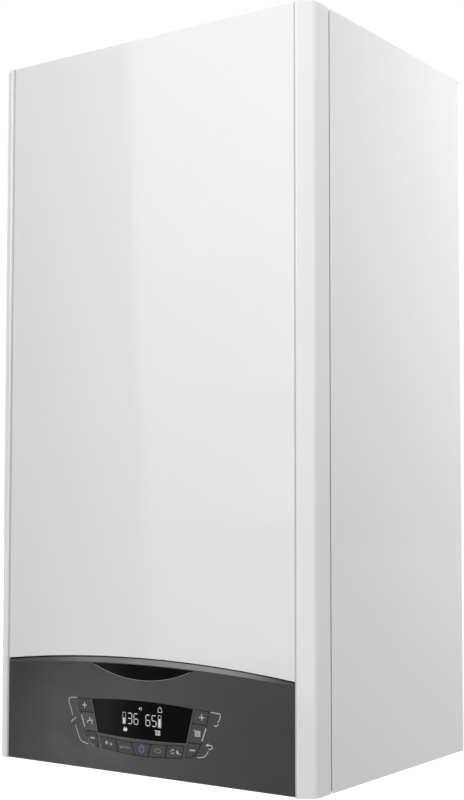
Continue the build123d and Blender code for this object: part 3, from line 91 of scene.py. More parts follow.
def finish(name, colour, roughness, metallic=0.0, shine=0.5):
    """A new surface with its plain values set on the shader's own sockets."""
    material = bpy.data.materials.new(name)
    material.use_nodes = True
    shader = surface(material)
    shader.inputs["Base Color"].default_value = (*colour, 1.0)
    shader.inputs["Roughness"].default_value = roughness
    shader.inputs["Metallic"].default_value = metallic
    shader.inputs["Specular IOR Level"].default_value = shine
    FINISHES[name] = material
    return material


def variant(base, name):
    """A copy of a finish under its own name, to be changed for one solid."""
    material = base.copy()
    material.name = name
    return material


def node(material, kind, **settings):
    """A node of a kind, with its settings."""
    made = material.node_tree.nodes.new(kind)
    for key, value in settings.items():
        setattr(made, key, value)
    return made


def link(material, output, target):
    """A link between two sockets."""
    material.node_tree.links.new(output, target)


# %% [markdown]
# Every pattern starts from a piece's own coordinates. Noise gives clouds, Voronoi cells give flakes and
# pits, and a zone picks out a part of a solid by its place. A pattern could be painted on an unwrapped
# surface as well, but these solids have no unwrap, and coordinates need none.

# %% Patterns
def place(material, stretch=(1, 1, 1)):
    """Object coordinates in metres, squeezed per axis."""
    coordinates = node(material, "ShaderNodeTexCoord")
    mapping = node(material, "ShaderNodeMapping")
    mapping.inputs["Scale"].default_value = stretch
    link(material, coordinates.outputs["Object"], mapping.inputs["Vector"])
    return mapping.outputs["Vector"]


def cloud(material, size, detail=2.0, stretch=(1, 1, 1)):
    """Soft noise with spots of about that size in millimetres."""
    texture = node(material, "ShaderNodeTexNoise")
    texture.inputs["Scale"].default_value = 1.0 / (size * MM)
    texture.inputs["Detail"].default_value = detail
    link(material, place(material, stretch), texture.inputs["Vector"])
    return texture.outputs["Fac"]


def flakes(material, size, output="Color"):
    """Voronoi cells of about that size in millimetres."""
    texture = node(material, "ShaderNodeTexVoronoi")
    texture.inputs["Scale"].default_value = 1.0 / (size * MM)
    link(material, place(material), texture.inputs["Vector"])
    return texture.outputs[output]


def spread(material, value, low, high, start=0.3, end=0.7):
    """A pattern's middle range stretched between two values."""
    mapped = node(material, "ShaderNodeMapRange")
    mapped.inputs["From Min"].default_value = start
    mapped.inputs["From Max"].default_value = end
    mapped.inputs["To Min"].default_value = low
    mapped.inputs["To Max"].default_value = high
    link(material, value, mapped.inputs["Value"])
    return mapped.outputs["Result"]


def zone(material, **spans):
    """A mask that is 1 inside spans of x, y and z, given in millimetres."""
    coordinates = node(material, "ShaderNodeTexCoord")
    parts = node(material, "ShaderNodeSeparateXYZ")
    link(material, coordinates.outputs["Object"], parts.inputs["Vector"])
    mask = None
    for axis, (low, high) in spans.items():
        inside = node(material, "ShaderNodeMath", operation="COMPARE")
        inside.inputs[1].default_value = (low + high) / 2 * MM
        inside.inputs[2].default_value = (high - low) / 2 * MM
        link(material, parts.outputs[axis.upper()], inside.inputs[0])
        if mask is None:
            mask = inside.outputs["Value"]
        else:
            both = node(material, "ShaderNodeMath", operation="MULTIPLY")
            link(material, mask, both.inputs[0])
            link(material, inside.outputs["Value"], both.inputs[1])
            mask = both.outputs["Value"]
    return mask


# %% [markdown]
# A pattern alone is a number at each point. Mixing gives it a meaning: it moves the surface towards a
# colour or another roughness, or raises small bumps. Each helper mixes over what is already there, so
# patterns lie over each other in the order in which they are called.

# %% What a pattern changes
def change(material, socket, mask, value, kind):
    """Moves an input of the shader to another value where the mask is high."""
    target = surface(material).inputs[socket]
    mix = node(material, "ShaderNodeMix", data_type=kind)
    if target.is_linked:
        link(material, target.links[0].from_socket, mix.inputs["A"])
    else:
        mix.inputs["A"].default_value = target.default_value
    mix.inputs["B"].default_value = value
    link(material, mask, mix.inputs["Factor"])
    link(material, mix.outputs["Result"], target)


def tint(material, mask, colour):
    """Lays a colour over the present one where the mask is high."""
    change(material, "Base Color", mask, (*colour, 1.0), "RGBA")


def level(material, socket, mask, value):
    """Moves a plain number of the shader to another value where the mask is high."""
    change(material, socket, mask, value, "FLOAT")


def relief(material, height, depth):
    """Small bumps from a pattern, with their depth in millimetres."""
    bump = node(material, "ShaderNodeBump")
    bump.inputs["Strength"].default_value = 1.0
    bump.inputs["Distance"].default_value = depth * MM
    link(material, height, bump.inputs["Height"])
    target = surface(material).inputs["Normal"]
    if target.is_linked:
        link(material, target.links[0].from_socket, bump.inputs["Normal"])
    link(material, bump.outputs["Normal"], target)


def mottle(material, size, detail, share, colour, start=0.3, end=0.7):
    """Lays a colour over the present one in soft spots, up to a share."""
    tint(material, spread(material, cloud(material, size, detail), 0.0, share, start, end), colour)


def drift(material, size, detail, roughness):
    """Lets the roughness wander to another value in soft spots."""
    level(material, "Roughness", spread(material, cloud(material, size, detail), 0.0, 1.0), roughness)


def pebble(material, size, detail, depth, stretch=(1, 1, 1)):
    """Small bumps from soft noise."""
    relief(material, cloud(material, size, detail, stretch), depth)


def repaint(material, mask, colour, roughness, metallic):
    """Turns what a mask covers into another finish, for a solid that holds two real materials."""
    tint(material, mask, colour)
    level(material, "Roughness", mask, roughness)
    level(material, "Metallic", mask, metallic)


def patch(material, colour, roughness, metallic, **spans):
    """Turns the part of a solid inside spans, in millimetres, into another finish."""
    repaint(material, zone(material, **spans), colour, roughness, metallic)


# %% [markdown]
# The casing is stove-enamelled sheet. The photo shows it smooth, white and glossy enough to mirror the
# edge of a light. Enamel is never quite flat, so a very shallow long-wave relief, the orange peel, breaks
# the mirror image gently. The roughness drifts a little too, as on a sheet that has been wiped.

# %% White enamel
def both_sides(near, far):
    """The span between two distances from the middle, on the left and on the right."""
    return (-far, -near), (near, far)


enamel = finish("white_enamel", (0.80, 0.803, 0.81), 0.03, shine=0.5)
mottle(enamel, 90, 1.0, 0.35, (0.785, 0.788, 0.795))
drift(enamel, 45, 3.0, 0.075)
# Painted shade: the narrow walls beside each ridge at the sides of the front are painted darker, standing in
# for the shade that gathers in the fold.
PAINTED_COVE_SHADE = (0.46, 0.462, 0.47)
COVE_Y = (-319.5, -310.0)
for walls in both_sides(181.2, 183.3):
    tint(enamel, zone(enamel, x=walls, y=COVE_Y), PAINTED_COVE_SHADE)
pebble(enamel, 7.0, 1.0, 0.0025)
pebble(enamel, 1.6, 1.0, 0.0006)

# %% [markdown]
# Hidden sheets are left galvanised. Zinc freezes into flat crystals, the spangle, which differ a little
# in tone and gloss. Voronoi cells are the same kind of pattern: each cell's random colour sets how it
# shines.

# %% Galvanised sheet
zinc = finish("galvanised_steel", (0.56, 0.58, 0.60), 0.36, metallic=1.0)
spangle = flakes(zinc, 9.0)
tint(zinc, spread(zinc, spangle, 0.0, 0.8, 0.2, 0.9), (0.42, 0.44, 0.46))
level(zinc, "Roughness", spread(zinc, spangle, 0.0, 1.0, 0.1, 0.9), 0.52)
mottle(zinc, 60, 4.0, 0.35, (0.66, 0.67, 0.68), 0.45, 0.75)
pebble(zinc, 2.5, 3.0, 0.010)

# %% [markdown]
# Stainless parts come from rolled or drawn sheet, so their fine scratches run one way. Noise that is
# stretched along one axis gives those lines. Near welds and the burner the metal takes a faint straw
# colour.

# %% Stainless steel
stainless = finish("stainless_steel", (0.60, 0.59, 0.57), 0.27, metallic=1.0)
lines = cloud(stainless, 1.2, 3.0, (1, 0.04, 1))
level(stainless, "Roughness", spread(stainless, lines, 0.0, 1.0), 0.42)
mottle(stainless, 40, 3.0, 0.5, (0.62, 0.55, 0.44), 0.45, 0.7)
relief(stainless, lines, 0.006)

# %% [markdown]
# Die-cast aluminium is matte and slightly pebbled, with flow marks. A coarse cloud gives the flow marks
# and a fine one the pebbling.

# %% Cast aluminium
cast = finish("cast_aluminium", (0.56, 0.565, 0.575), 0.46, metallic=1.0)
mottle(cast, 18, 4.0, 0.55, (0.42, 0.43, 0.44))
drift(cast, 6, 2.0, 0.60)
pebble(cast, 0.9, 2.0, 0.06)

# %% [markdown]
# The control panel is moulded in a charcoal plastic with a satin face. The mould is spark-eroded, which
# leaves a grain well under a millimetre, so the light spreads softly but still shows a broad sheen.

# %% Charcoal plastic of the control panel
charcoal = finish("charcoal_plastic", (0.018, 0.0177, 0.0169), 0.19, shine=0.40)
mottle(charcoal, 0.8, 2.0, 0.5, (0.016, 0.0157, 0.0149))
drift(charcoal, 30, 2.0, 0.25)
pebble(charcoal, 0.55, 2.0, 0.012)

# %% Keys, in the same plastic with a finer and drier face
key_plastic = finish("key_plastic", (0.032, 0.0316, 0.030), 0.40, shine=0.36)
mottle(key_plastic, 0.7, 2.0, 0.5, (0.026, 0.0257, 0.0244))
pebble(key_plastic, 0.45, 2.0, 0.015)

# %% [markdown]
# The window of the display and the plate under the arch are polished black. Black gloss shows nothing but
# what it mirrors, so only a trace of haze and a few fine wipe marks are laid on it.

# %% Polished black
gloss = finish("black_gloss", (0.0022, 0.0022, 0.0024), 0.07, shine=0.025)
level(gloss, "Roughness", spread(gloss, cloud(gloss, 14, 4.0, (1, 1, 0.3)), 0.0, 1.0, 0.4, 0.75), 0.16)
pebble(gloss, 12, 1.0, 0.004)

# %% [markdown]
# Moulded parts inside share one recipe and differ in colour, grain and gloss, so a small function makes
# them all.

# %% Moulded plastics
def moulded(name, colour, shade, roughness, grain=0.8, depth=0.03):
    """A grained plastic with a slightly darker mottle."""
    material = finish(name, colour, roughness)
    mottle(material, grain, 2.0, 0.6, shade)
    drift(material, 22, 3.0, roughness + 0.12)
    pebble(material, grain, 2.0, depth)
    return material


black_plastic = moulded("black_plastic", (0.020, 0.020, 0.021), (0.012, 0.012, 0.013), 0.42)
grey_plastic = moulded("grey_plastic", (0.30, 0.31, 0.32), (0.26, 0.27, 0.28), 0.40)
white_plastic = moulded("white_plastic", (0.76, 0.76, 0.745), (0.72, 0.72, 0.70), 0.33, 1.6, 0.012)
cup_plastic = moulded("translucent_cup", (0.60, 0.625, 0.60), (0.54, 0.57, 0.55), 0.30, 3.0, 0.02)
surface(cup_plastic).inputs["Subsurface Weight"].default_value = 0.25
surface(cup_plastic).inputs["Subsurface Scale"].default_value = 0.004
red_plastic = moulded("red_plastic", (0.52, 0.022, 0.018), (0.42, 0.016, 0.014), 0.34)
blue_plastic = moulded("blue_plastic", (0.018, 0.10, 0.42), (0.014, 0.075, 0.33), 0.34)
hose_plastic = moulded("hose_plastic", (0.34, 0.35, 0.36), (0.29, 0.30, 0.31), 0.36, 2.0, 0.01)
impeller_plastic = moulded("impeller_plastic", (0.12, 0.12, 0.125), (0.09, 0.09, 0.095), 0.45)
print("moulded plastics ready")

# %% [markdown]
# Brass castings have a dull skin, while the threads and hexagons are machined bright. Copper tube darkens
# in brown clouds where hands and flux touched it.

# %% Brass and copper
brass = finish("brass", (0.70, 0.50, 0.24), 0.34, metallic=1.0)
mottle(brass, 12, 4.0, 0.7, (0.50, 0.34, 0.16))
drift(brass, 5, 3.0, 0.50)
pebble(brass, 1.1, 2.0, 0.04)

copper = finish("copper", (0.78, 0.39, 0.24), 0.24, metallic=1.0)
mottle(copper, 26, 5.0, 0.75, (0.42, 0.19, 0.11), 0.45, 0.75)
drift(copper, 8, 3.0, 0.44)
pebble(copper, 1.4, 2.0, 0.008, (1, 1, 0.1))

# %% [markdown]
# The vessel wears a thin coat of red primer that follows the pressed steel's waviness. Foam is open and
# dull, a spongy relief of small pits. The glazed sleeve of an electrode is plain porcelain with tiny
# specks.

# %% Primer, foam, porcelain, silicone and fasteners
primer = finish("red_enamel", (0.46, 0.030, 0.024), 0.38)
mottle(primer, 35, 4.0, 0.5, (0.36, 0.022, 0.018))
pebble(primer, 3.0, 3.0, 0.05)

foam = finish("foam", (0.085, 0.085, 0.09), 0.92, shine=0.2)
pits = flakes(foam, 1.6, output="Distance")
tint(foam, spread(foam, pits, 0.0, 0.8, 0.1, 0.6), (0.16, 0.16, 0.165))
relief(foam, pits, 0.35)

porcelain = finish("ceramic_white", (0.80, 0.78, 0.73), 0.18)
mottle(porcelain, 1.2, 2.0, 0.6, (0.55, 0.50, 0.44), 0.62, 0.7)
patch(porcelain, (0.55, 0.55, 0.56), 0.36, 1.0, y=(-251.2, -247.9))
patch(porcelain, (0.60, 0.58, 0.54), 0.30, 1.0, y=(-279.0, -268.1))

silicone = finish("silicone_lead", (0.42, 0.065, 0.040), 0.52)
mottle(silicone, 4, 3.0, 0.6, (0.33, 0.045, 0.030))
pebble(silicone, 0.8, 2.0, 0.02)

zinc_screw = finish("zinc_fasteners", (0.66, 0.66, 0.66), 0.26, metallic=1.0)
mottle(zinc_screw, 2.0, 3.0, 0.7, (0.56, 0.54, 0.46))
pebble(zinc_screw, 0.5, 2.0, 0.01)
print("finishes so far", len(FINISHES))

# %% [markdown]
# A printed board is one solid here, with its parts standing on it. Masks by place tell the laminate from
# the parts: green varnish with paler tracks on the laminate, black on the relays, cream on the plugs and
# bare aluminium on the heat sink. That keeps one solid and still shows each part in its own material.

# %% Circuit boards
LAMINATE = (0.012, 0.130, 0.055)
LAMINATE_SHADE = (0.010, 0.115, 0.050)
TRACKS = (0.030, 0.210, 0.090)
CREAM = (0.72, 0.69, 0.60)


def laminate(name):
    """Green board with fine tracks."""
    material = finish(name, LAMINATE, 0.30)
    texture = node(material, "ShaderNodeTexBrick")
    texture.inputs["Scale"].default_value = 110.0
    texture.inputs["Mortar Size"].default_value = 0.035
    texture.inputs["Color1"].default_value = (*LAMINATE, 1)
    texture.inputs["Color2"].default_value = (*LAMINATE_SHADE, 1)
    texture.inputs["Mortar"].default_value = (*TRACKS, 1)
    coordinates = node(material, "ShaderNodeTexCoord")
    upright = node(material, "ShaderNodeMapping")
    upright.inputs["Rotation"].default_value = (math.pi / 2, 0, 0)
    link(material, coordinates.outputs["Object"], upright.inputs["Vector"])
    link(material, upright.outputs["Vector"], texture.inputs["Vector"])
    link(material, texture.outputs["Color"], surface(material).inputs["Base Color"])
    return material


MAIN_PARTS = (-300, -266.1)
main_board = laminate("main_board_finish")
patch(main_board, (0.018, 0.018, 0.019), 0.40, 0.0, y=MAIN_PARTS)
patch(main_board, CREAM, 0.38, 0.0, y=MAIN_PARTS, z=(13.5, 26.5))
patch(main_board, (0.60, 0.60, 0.62), 0.30, 1.0, y=MAIN_PARTS, x=(103, 137), z=(45, 81))
patch(main_board, (0.34, 0.20, 0.05), 0.42, 0.0, y=MAIN_PARTS, x=(-141, -97), z=(39, 77))
patch(main_board, (0.62, 0.62, 0.64), 0.28, 1.0, y=(-292.2, -283.5), x=(50, 100), z=(40, 80))

DISPLAY_PARTS = (-307.6, -299)
display_board = laminate("display_board_finish")
patch(display_board, (0.03, 0.035, 0.03), 0.10, 0.0, y=(-313, -309.4))
patch(display_board, (0.020, 0.020, 0.021), 0.40, 0.0, y=DISPLAY_PARTS)
patch(display_board, CREAM, 0.38, 0.0, y=DISPLAY_PARTS, x=(19, 45), z=(17, 31))

# %% [markdown]
# Six more solids hold two real materials: the gas valve's coils, the pump's terminal box, the sensor's
# plug, the brass necks of the vessel, the copper brazing between the exchanger's plates and the dark test
# caps of the flue collar.

# %% Solids of two materials
TERMINAL_BLACK = (0.016, 0.016, 0.017)
TURNED_BRASS = (0.70, 0.50, 0.24)
PLATE_PITCH = 3.3

gas_valve_metal = variant(cast, "gas_valve_finish")
patch(gas_valve_metal, TERMINAL_BLACK, 0.40, 0.0, y=(-240, -205.1), x=(100, 135))
patch(gas_valve_metal, TERMINAL_BLACK, 0.40, 0.0, z=(326.1, 345))
patch(gas_valve_metal, TURNED_BRASS, 0.30, 1.0, z=(230, 245.9))
patch(gas_valve_metal, TURNED_BRASS, 0.30, 1.0, y=(-220, -205.1), x=(136, 160))

pump_metal = variant(cast, "pump_motor_finish")
patch(pump_metal, TERMINAL_BLACK, 0.38, 0.0, z=(104.5, 120))
patch(pump_metal, TURNED_BRASS, 0.28, 1.0, y=(-254, -250.05))

sensor_metal = variant(brass, "flow_sensor_finish")
patch(sensor_metal, TERMINAL_BLACK, 0.40, 0.0, y=(-140, -125.5), z=(26, 42))

vessel_paint = variant(primer, "vessel_finish")
patch(vessel_paint, (0.62, 0.60, 0.56), 0.32, 1.0, z=(190, 211.9))
patch(vessel_paint, TURNED_BRASS, 0.30, 1.0, y=(-95, -76.1))

plates = variant(stainless, "plate_exchanger_finish")
seams = node(plates, "ShaderNodeTexWave", wave_type="BANDS", bands_direction="Y")
seams.inputs["Scale"].default_value = 0.5 / (PLATE_PITCH * MM * 2 * math.pi)
link(plates, place(plates), seams.inputs["Vector"])
brazing = spread(plates, seams.outputs["Fac"], 0.0, 1.0, 0.62, 0.85)
repaint(plates, brazing, (0.66, 0.34, 0.20), 0.34, 1.0)

collar_plastic = variant(white_plastic, "flue_collar_finish")
patch(collar_plastic, (0.018, 0.018, 0.019), 0.42, 0.0, y=(-195, -176), z=(747.6, 760))

# %% [markdown]
# Each solid now gets its finish through its object's material slots. A table of solid to finish is easier
# to check than sixty lines of code.

# %% Dress the solids
def dress(name, material):
    """Puts a finish into every material slot of a solid."""
    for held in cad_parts[name].material_slots:
        held.material = material


WEARS = {
    enamel: ["front_cover", "side_panel_left", "side_panel_right"],
    zinc: ["back_plate", "top_plate", "bottom_plate", "chamber_floor", "chamber_panel"],
    foam: ["chamber_gasket", "cover_lining"],
    zinc_screw: ["frame_screws", "cover_screws"],
    charcoal: ["control_fascia"],
    key_plastic: sorted(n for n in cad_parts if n.endswith("_button")),
    gloss: ["badge_plate", "display_lens"],
    display_board: ["display_module"],
    main_board: ["main_board"],
    grey_plastic: ["control_box"],
    stainless: ["exchanger_shell", "exchanger_coil", "burner"],
    cast: ["burner_door", "fan_housing", "air_gas_mixer"],
    porcelain: ["electrodes"],
    black_plastic: ["fan_motor", "air_silencer", "ignition_transformer", "diverter_motor", "air_vent_cap"],
    impeller_plastic: ["fan_impeller", "pump_impeller"],
    gas_valve_metal: ["gas_valve"],
    copper: ["gas_pipe", "vessel_pipe", "flow_pipe", "return_pipe"],
    white_plastic: ["exhaust_pipe"],
    collar_plastic: ["flue_collar"],
    silicone: ["ignition_lead"],
    vessel_paint: ["expansion_vessel"],
    brass: ["flow_block", "return_block", "diverter_stem"],
    plates: ["plate_exchanger"],
    pump_metal: ["pump_motor"],
    sensor_metal: ["flow_sensor"],
    red_plastic: ["safety_valve_knob"],
    blue_plastic: ["filling_tap_knob"],
    cup_plastic: ["condensate_trap"],
    hose_plastic: ["condensate_hose"],
}
dressed = set()
for material, solids in WEARS.items():
    for name in solids:
        dress(name, material)
        dressed.add(name)
print("solids without a finish", sorted(set(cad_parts) - dressed))

# %% [markdown]
# From here on come the pieces that are too fine for the solids. Each is laid out in the boiler's own
# millimetres in a bmesh, where operators make and shape it, and then turned into one object. Its object
# stays at the origin, because the export and the patterns on Object coordinates both count on that. Sharp
# edges are marked by angle, so round walls shade smoothly and corners stay crisp.

# %% Helpers for pieces
CREASE = math.radians(35)
PIECES = []


def take(bm, mesh):
    """Adds a mesh to a bmesh and removes it."""
    bm.from_mesh(mesh)
    bpy.data.meshes.remove(mesh)


def join(bm, part, matrix):
    """Adds one bmesh to another, moved by a matrix, and frees it."""
    part.transform(matrix)
    carrier = bpy.data.meshes.new("carrier")
    part.to_mesh(carrier)
    part.free()
    take(bm, carrier)


def complete(name, bm, material, body="casing"):
    """Turns a bmesh into a piece that rides on a body and takes its finish from a slot."""
    bmesh.ops.remove_doubles(bm, verts=bm.verts, dist=1e-7)
    bmesh.ops.recalc_face_normals(bm, faces=bm.faces)
    for face in bm.faces:
        face.smooth = True
    for edge in bm.edges:
        if len(edge.link_faces) == 2 and edge.calc_face_angle() > CREASE:
            edge.smooth = False
    mesh = bpy.data.meshes.new(name)
    bm.to_mesh(mesh)
    bm.free()
    mesh.materials.append(material)
    piece = bpy.data.objects.new(name, mesh)
    bpy.context.scene.collection.objects.link(piece)
    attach(piece, body)
    PIECES.append(piece)


def on_panel(name, bm, material):
    """A printed mark that rides on the control panel."""
    complete(name, bm, material, "control_panel")


print("piece helpers ready")

# %% [markdown]
# The marks on the panel are printed in light ink, about a tenth of a millimetre proud. A curve with a
# round bevel, squeezed flat and made a mesh, gives an ink line with soft shoulders and any bend. Solid
# marks are flat curves that are filled. Words are left off the keys: generic pictograms stand in their
# place.

# %% Inks
def printed(name, colour, shade, roughness, speck=0.7):
    """A printed ink with faint specks of a size in millimetres."""
    material = finish(name, colour, roughness)
    mottle(material, speck, 2.0, 0.5, shade)
    return material


ink = printed("printed_ink", (0.50, 0.50, 0.49), (0.44, 0.44, 0.43), 0.45)
# This grey ink also paints the thin line on the lens's lower edge, a painted highlight.
faint_ink_and_lens_highlight = printed("faint_ink_and_lens_highlight", (0.20, 0.20, 0.195), (0.16, 0.16, 0.155), 0.45)
blue_ink = printed("blue_ink", (0.040, 0.155, 0.42), (0.032, 0.125, 0.36), 0.40)
# Painted highlight: the rim of the window is printed a paler grey than the panel.
painted_rim_highlight = printed("painted_rim_highlight", (0.070, 0.069, 0.066), (0.058, 0.057, 0.055), 0.34, 0.8)
lit_segment = finish("lit_segment", (0.66, 0.67, 0.67), 0.35)
mottle(lit_segment, 0.9, 1.0, 0.5, (0.60, 0.61, 0.61))
surface(lit_segment).inputs["Emission Color"].default_value = (0.80, 0.82, 0.82, 1)
surface(lit_segment).inputs["Emission Strength"].default_value = 0.12

# %% Helpers for marks
INK = 0.12
FASCIA_FACE = -316.7
KEY_FACE = -317.2
WINDOW_FACE = -316.3
BADGE_FACE = -317.1
SOFT = 6


def curve_mesh(curve):
    """The mesh of a curve, with the curve removed."""
    source = bpy.data.objects.new("drawn", curve)
    mesh = bpy.data.meshes.new_from_object(source)
    bpy.data.objects.remove(source)
    bpy.data.curves.remove(curve)
    return mesh


def round_lines(lines, thickness, section):
    """A mesh of round lines, each a list of (x, y, z) in millimetres that bends softly inside."""
    curve = bpy.data.curves.new("lines", "CURVE")
    curve.dimensions = "3D"
    curve.bevel_depth = thickness / 2 * MM
    curve.bevel_resolution = section
    curve.use_fill_caps = True
    curve.resolution_u = SOFT
    for line in lines:
        spline = curve.splines.new("NURBS")
        spline.points.add(len(line) - 1)
        for point, (x, y, z) in zip(spline.points, line):
            point.co = (x * MM, y * MM, z * MM, 1)
        spline.order_u = min(3, len(line))
        spline.use_endpoint_u = True
    return curve_mesh(curve)


def draw(bm, strokes, width, face, proud=INK):
    """Ink lines on an upright face, each a list of (x, z) in millimetres that bends softly inside."""
    mesh = round_lines([[(x, 0, z) for x, z in stroke] for stroke in strokes], width, 2)
    mesh.transform(Matrix.Translation((0, face * MM, 0)) @ Matrix.Diagonal((1, 2 * proud / width, 1, 1)))
    take(bm, mesh)


def fill(bm, outline, face, sharp=False, proud=INK):
    """A solid mark on an upright face, inside a closed outline of (x, z) in millimetres."""
    curve = bpy.data.curves.new("filled", "CURVE")
    curve.dimensions = "2D"
    curve.fill_mode = "BOTH"
    curve.extrude = proud * MM
    curve.resolution_u = SOFT
    spline = curve.splines.new("POLY" if sharp else "NURBS")
    spline.points.add(len(outline) - 1)
    for point, (x, z) in zip(spline.points, outline):
        point.co = (x * MM, z * MM, 0, 1)
    spline.use_cyclic_u = True
    if not sharp:
        spline.order_u = 3
    mesh = curve_mesh(curve)
    mesh.transform(Matrix.Translation((0, face * MM, 0)) @ Matrix.Rotation(math.pi / 2, 4, "X"))
    take(bm, mesh)


def around_point(centre, radius, degrees, squeeze=1.0):
    """Points around a centre at angles in degrees from +X, with their width squeezed by a factor."""
    points = []
    for angle in degrees:
        turn = math.radians(angle)
        points.append((centre[0] + radius * squeeze * math.cos(turn), centre[1] + radius * math.sin(turn)))
    return points


def arc(centre, radius, start, end, count=9, squeeze=1.0):
    """Points on an arc between two angles in degrees."""
    degrees = [start + (end - start) * step / (count - 1) for step in range(count)]
    return around_point(centre, radius, degrees, squeeze)


def moved(strokes, x, z):
    """Strokes laid out about their own middle, moved to their place."""
    return [[(x + across, z + rise) for across, rise in stroke] for stroke in strokes]


# %% Plus and minus
SIGNS = (("hot_water_plus", -74.4, 63.7), ("heating_plus", 74.8, 63.7),
         ("hot_water_minus", -63.3, 31.5), ("heating_minus", 63.8, 31.4))
LEVEL_BAR = [(-3.1, 0.0), (3.1, 0.0)]
UPRIGHT_BAR = [(0.0, -3.1), (0.0, 3.1)]
for key, x, z in SIGNS:
    bm = bmesh.new()
    if key.endswith("plus"):
        draw(bm, moved([LEVEL_BAR, UPRIGHT_BAR], x, z), 1.1, KEY_FACE)
    else:
        draw(bm, moved([LEVEL_BAR], x, z), 1.4, KEY_FACE)
    complete(key + "_sign", bm, ink, key + "_button")
print("signs", len(SIGNS))

# %% [markdown]
# The lower row of keys. Each key's pictogram is as wide and as bright as the mark in the photo: a sun and
# a snowflake on the mode key, a thermometer lying down on the comfort key, the power ring in blue, a pair
# of chasing arrows on the automatic key and a looped arrow with a flame on the reset key.

# %% Pictograms of the lower keys
def on_key(key, material, strokes, width, fills):
    """One pictogram on a key's face, which rides on the key."""
    bm = bmesh.new()
    draw(bm, strokes, width, KEY_FACE)
    for outline in fills:
        fill(bm, outline, KEY_FACE)
    complete(key + "_sign", bm, material, key + "_button")


def rays(centre, inner, outer, count, first=0.0):
    """Short strokes that stand around a point."""
    degrees = [first + 360.0 * step / count for step in range(count)]
    return list(zip(around_point(centre, inner, degrees), around_point(centre, outer, degrees)))


SUN = (-44.6, 28.6)
FLAKE = (-38.9, 27.6)
on_key("mode", ink, rays(SUN, 1.5, 2.2, 8) + rays(FLAKE, 0.0, 1.7, 6, 30), 0.55,
       [arc(SUN, 1.25, 0, 330, 12)])
BULB = (-25.6, 25.9)
SCALE = [[(x, 26.9), (x, 28.0)] for x in (-21.5, -19.2, -16.9)]
on_key("comfort", faint_ink_and_lens_highlight, [[(-25.0, 25.9), (-14.6, 25.9)]] + SCALE, 0.8,
       [arc(BULB, 1.35, 0, 330, 12)])
RING = (0.8, 26.6)
STEM = [(0.8, 27.2), (0.8, 31.6)]
on_key("power", blue_ink, [arc(RING, 3.4, 118, 422, 21, 0.86), STEM], 1.25, [])
CYCLE = (21.3, 26.7)
ARROWS = [[(26.2, 27.2), (24.0, 27.9), (25.6, 25.8)], [(16.4, 26.2), (18.6, 25.5), (17.0, 27.6)]]
on_key("auto", faint_ink_and_lens_highlight,
       [arc(CYCLE, 1.9, 20, 165, 9, 2.0), arc(CYCLE, 1.9, 200, 345, 9, 2.0)], 0.7, ARROWS)
LOOP = (39.4, 27.7)
LOOP_HEAD = [(40.9, 30.6), (38.9, 29.9), (41.3, 28.5)]
SMALL_FLAME = [(44.3, 26.4), (44.0, 28.2), (45.5, 29.9), (46.9, 28.4), (46.6, 26.4)]
on_key("reset", ink, [arc(LOOP, 1.9, 60, 350, 15), [(45.4, 26.3), (49.6, 26.3)]], 0.7,
       [LOOP_HEAD, SMALL_FLAME])
print("pictograms on the lower keys", 5)

# %% [markdown]
# Beside each column of keys stands a thin bracket with small symbols, and between plus and minus lies a
# field with a tap or a radiator. These are printed on the panel itself, so they ride on it and not on a
# key.

# %% Tap and radiator
TAP = (-67.7, 47.7)
TAP_BODY = [[(3.1, -2.4), (3.1, 2.6)], [(3.1, 0.9), (-1.2, 0.9), (-3.2, 0.6), (-3.3, -1.9)],
            [(0.3, 0.9), (0.3, 2.6)]]
TAP_HANDLE = [[(-0.7, 3.2), (1.3, 3.2)]]
RADIATOR = (68.9, 47.9)
RADIATOR_COLUMNS = [[(at, -2.9), (at, 2.6)] for at in (-2.0, -0.2, 1.6, 3.4)]
RADIATOR_PIPES = [[(-4.6, 2.6), (4.0, 2.3)], [(-2.6, -2.6), (4.0, -2.6)]]
bm = bmesh.new()
draw(bm, moved(TAP_BODY, *TAP), 1.0, FASCIA_FACE)
draw(bm, moved(TAP_HANDLE, *TAP), 1.3, FASCIA_FACE)
on_panel("tap_legend", bm, ink)
bm = bmesh.new()
draw(bm, moved(RADIATOR_COLUMNS, *RADIATOR), 1.15, FASCIA_FACE)
draw(bm, moved(RADIATOR_PIPES, *RADIATOR), 0.7, FASCIA_FACE)
on_panel("radiator_legend", bm, ink)

# %% Brackets and their symbols
BRACKETS = [
    [(-85.4, 70.3), (-90.2, 70.3), (-96.4, 69.6), (-95.9, 64.2), (-93.2, 59.1), (-90.8, 52.2)],
    [(-87.0, 42.7), (-84.0, 35.6), (-80.4, 27.4), (-75.0, 25.6), (-69.4, 24.8)],
    [(85.7, 69.5), (90.9, 69.3), (96.6, 68.9), (96.6, 64.6), (93.7, 60.4)],
    [(82.6, 32.5), (79.8, 27.6), (74.8, 25.4), (69.6, 25.1)],
]
SPANNER = [[(-90.6, 46.9), (-86.2, 50.1)], [(-91.9, 45.0), (-91.9, 47.2), (-90.0, 47.2)]]
TICK = [[(89.4, 57.9), (91.2, 56.3)], [(91.2, 56.3), (94.8, 59.2)]]
RETURN = [[(81.2, 38.2), (85.2, 38.3), (88.0, 36.6), (86.2, 34.4), (83.0, 34.4)]]
RETURN_HEAD = [(82.6, 39.9), (79.4, 37.9), (82.4, 36.4)]
bm = bmesh.new()
draw(bm, BRACKETS, 0.85, FASCIA_FACE)
on_panel("brackets", bm, ink)
bm = bmesh.new()
draw(bm, SPANNER + TICK + RETURN, 0.95, FASCIA_FACE)
fill(bm, RETURN_HEAD, FASCIA_FACE, sharp=True)
on_panel("service_symbols", bm, ink)

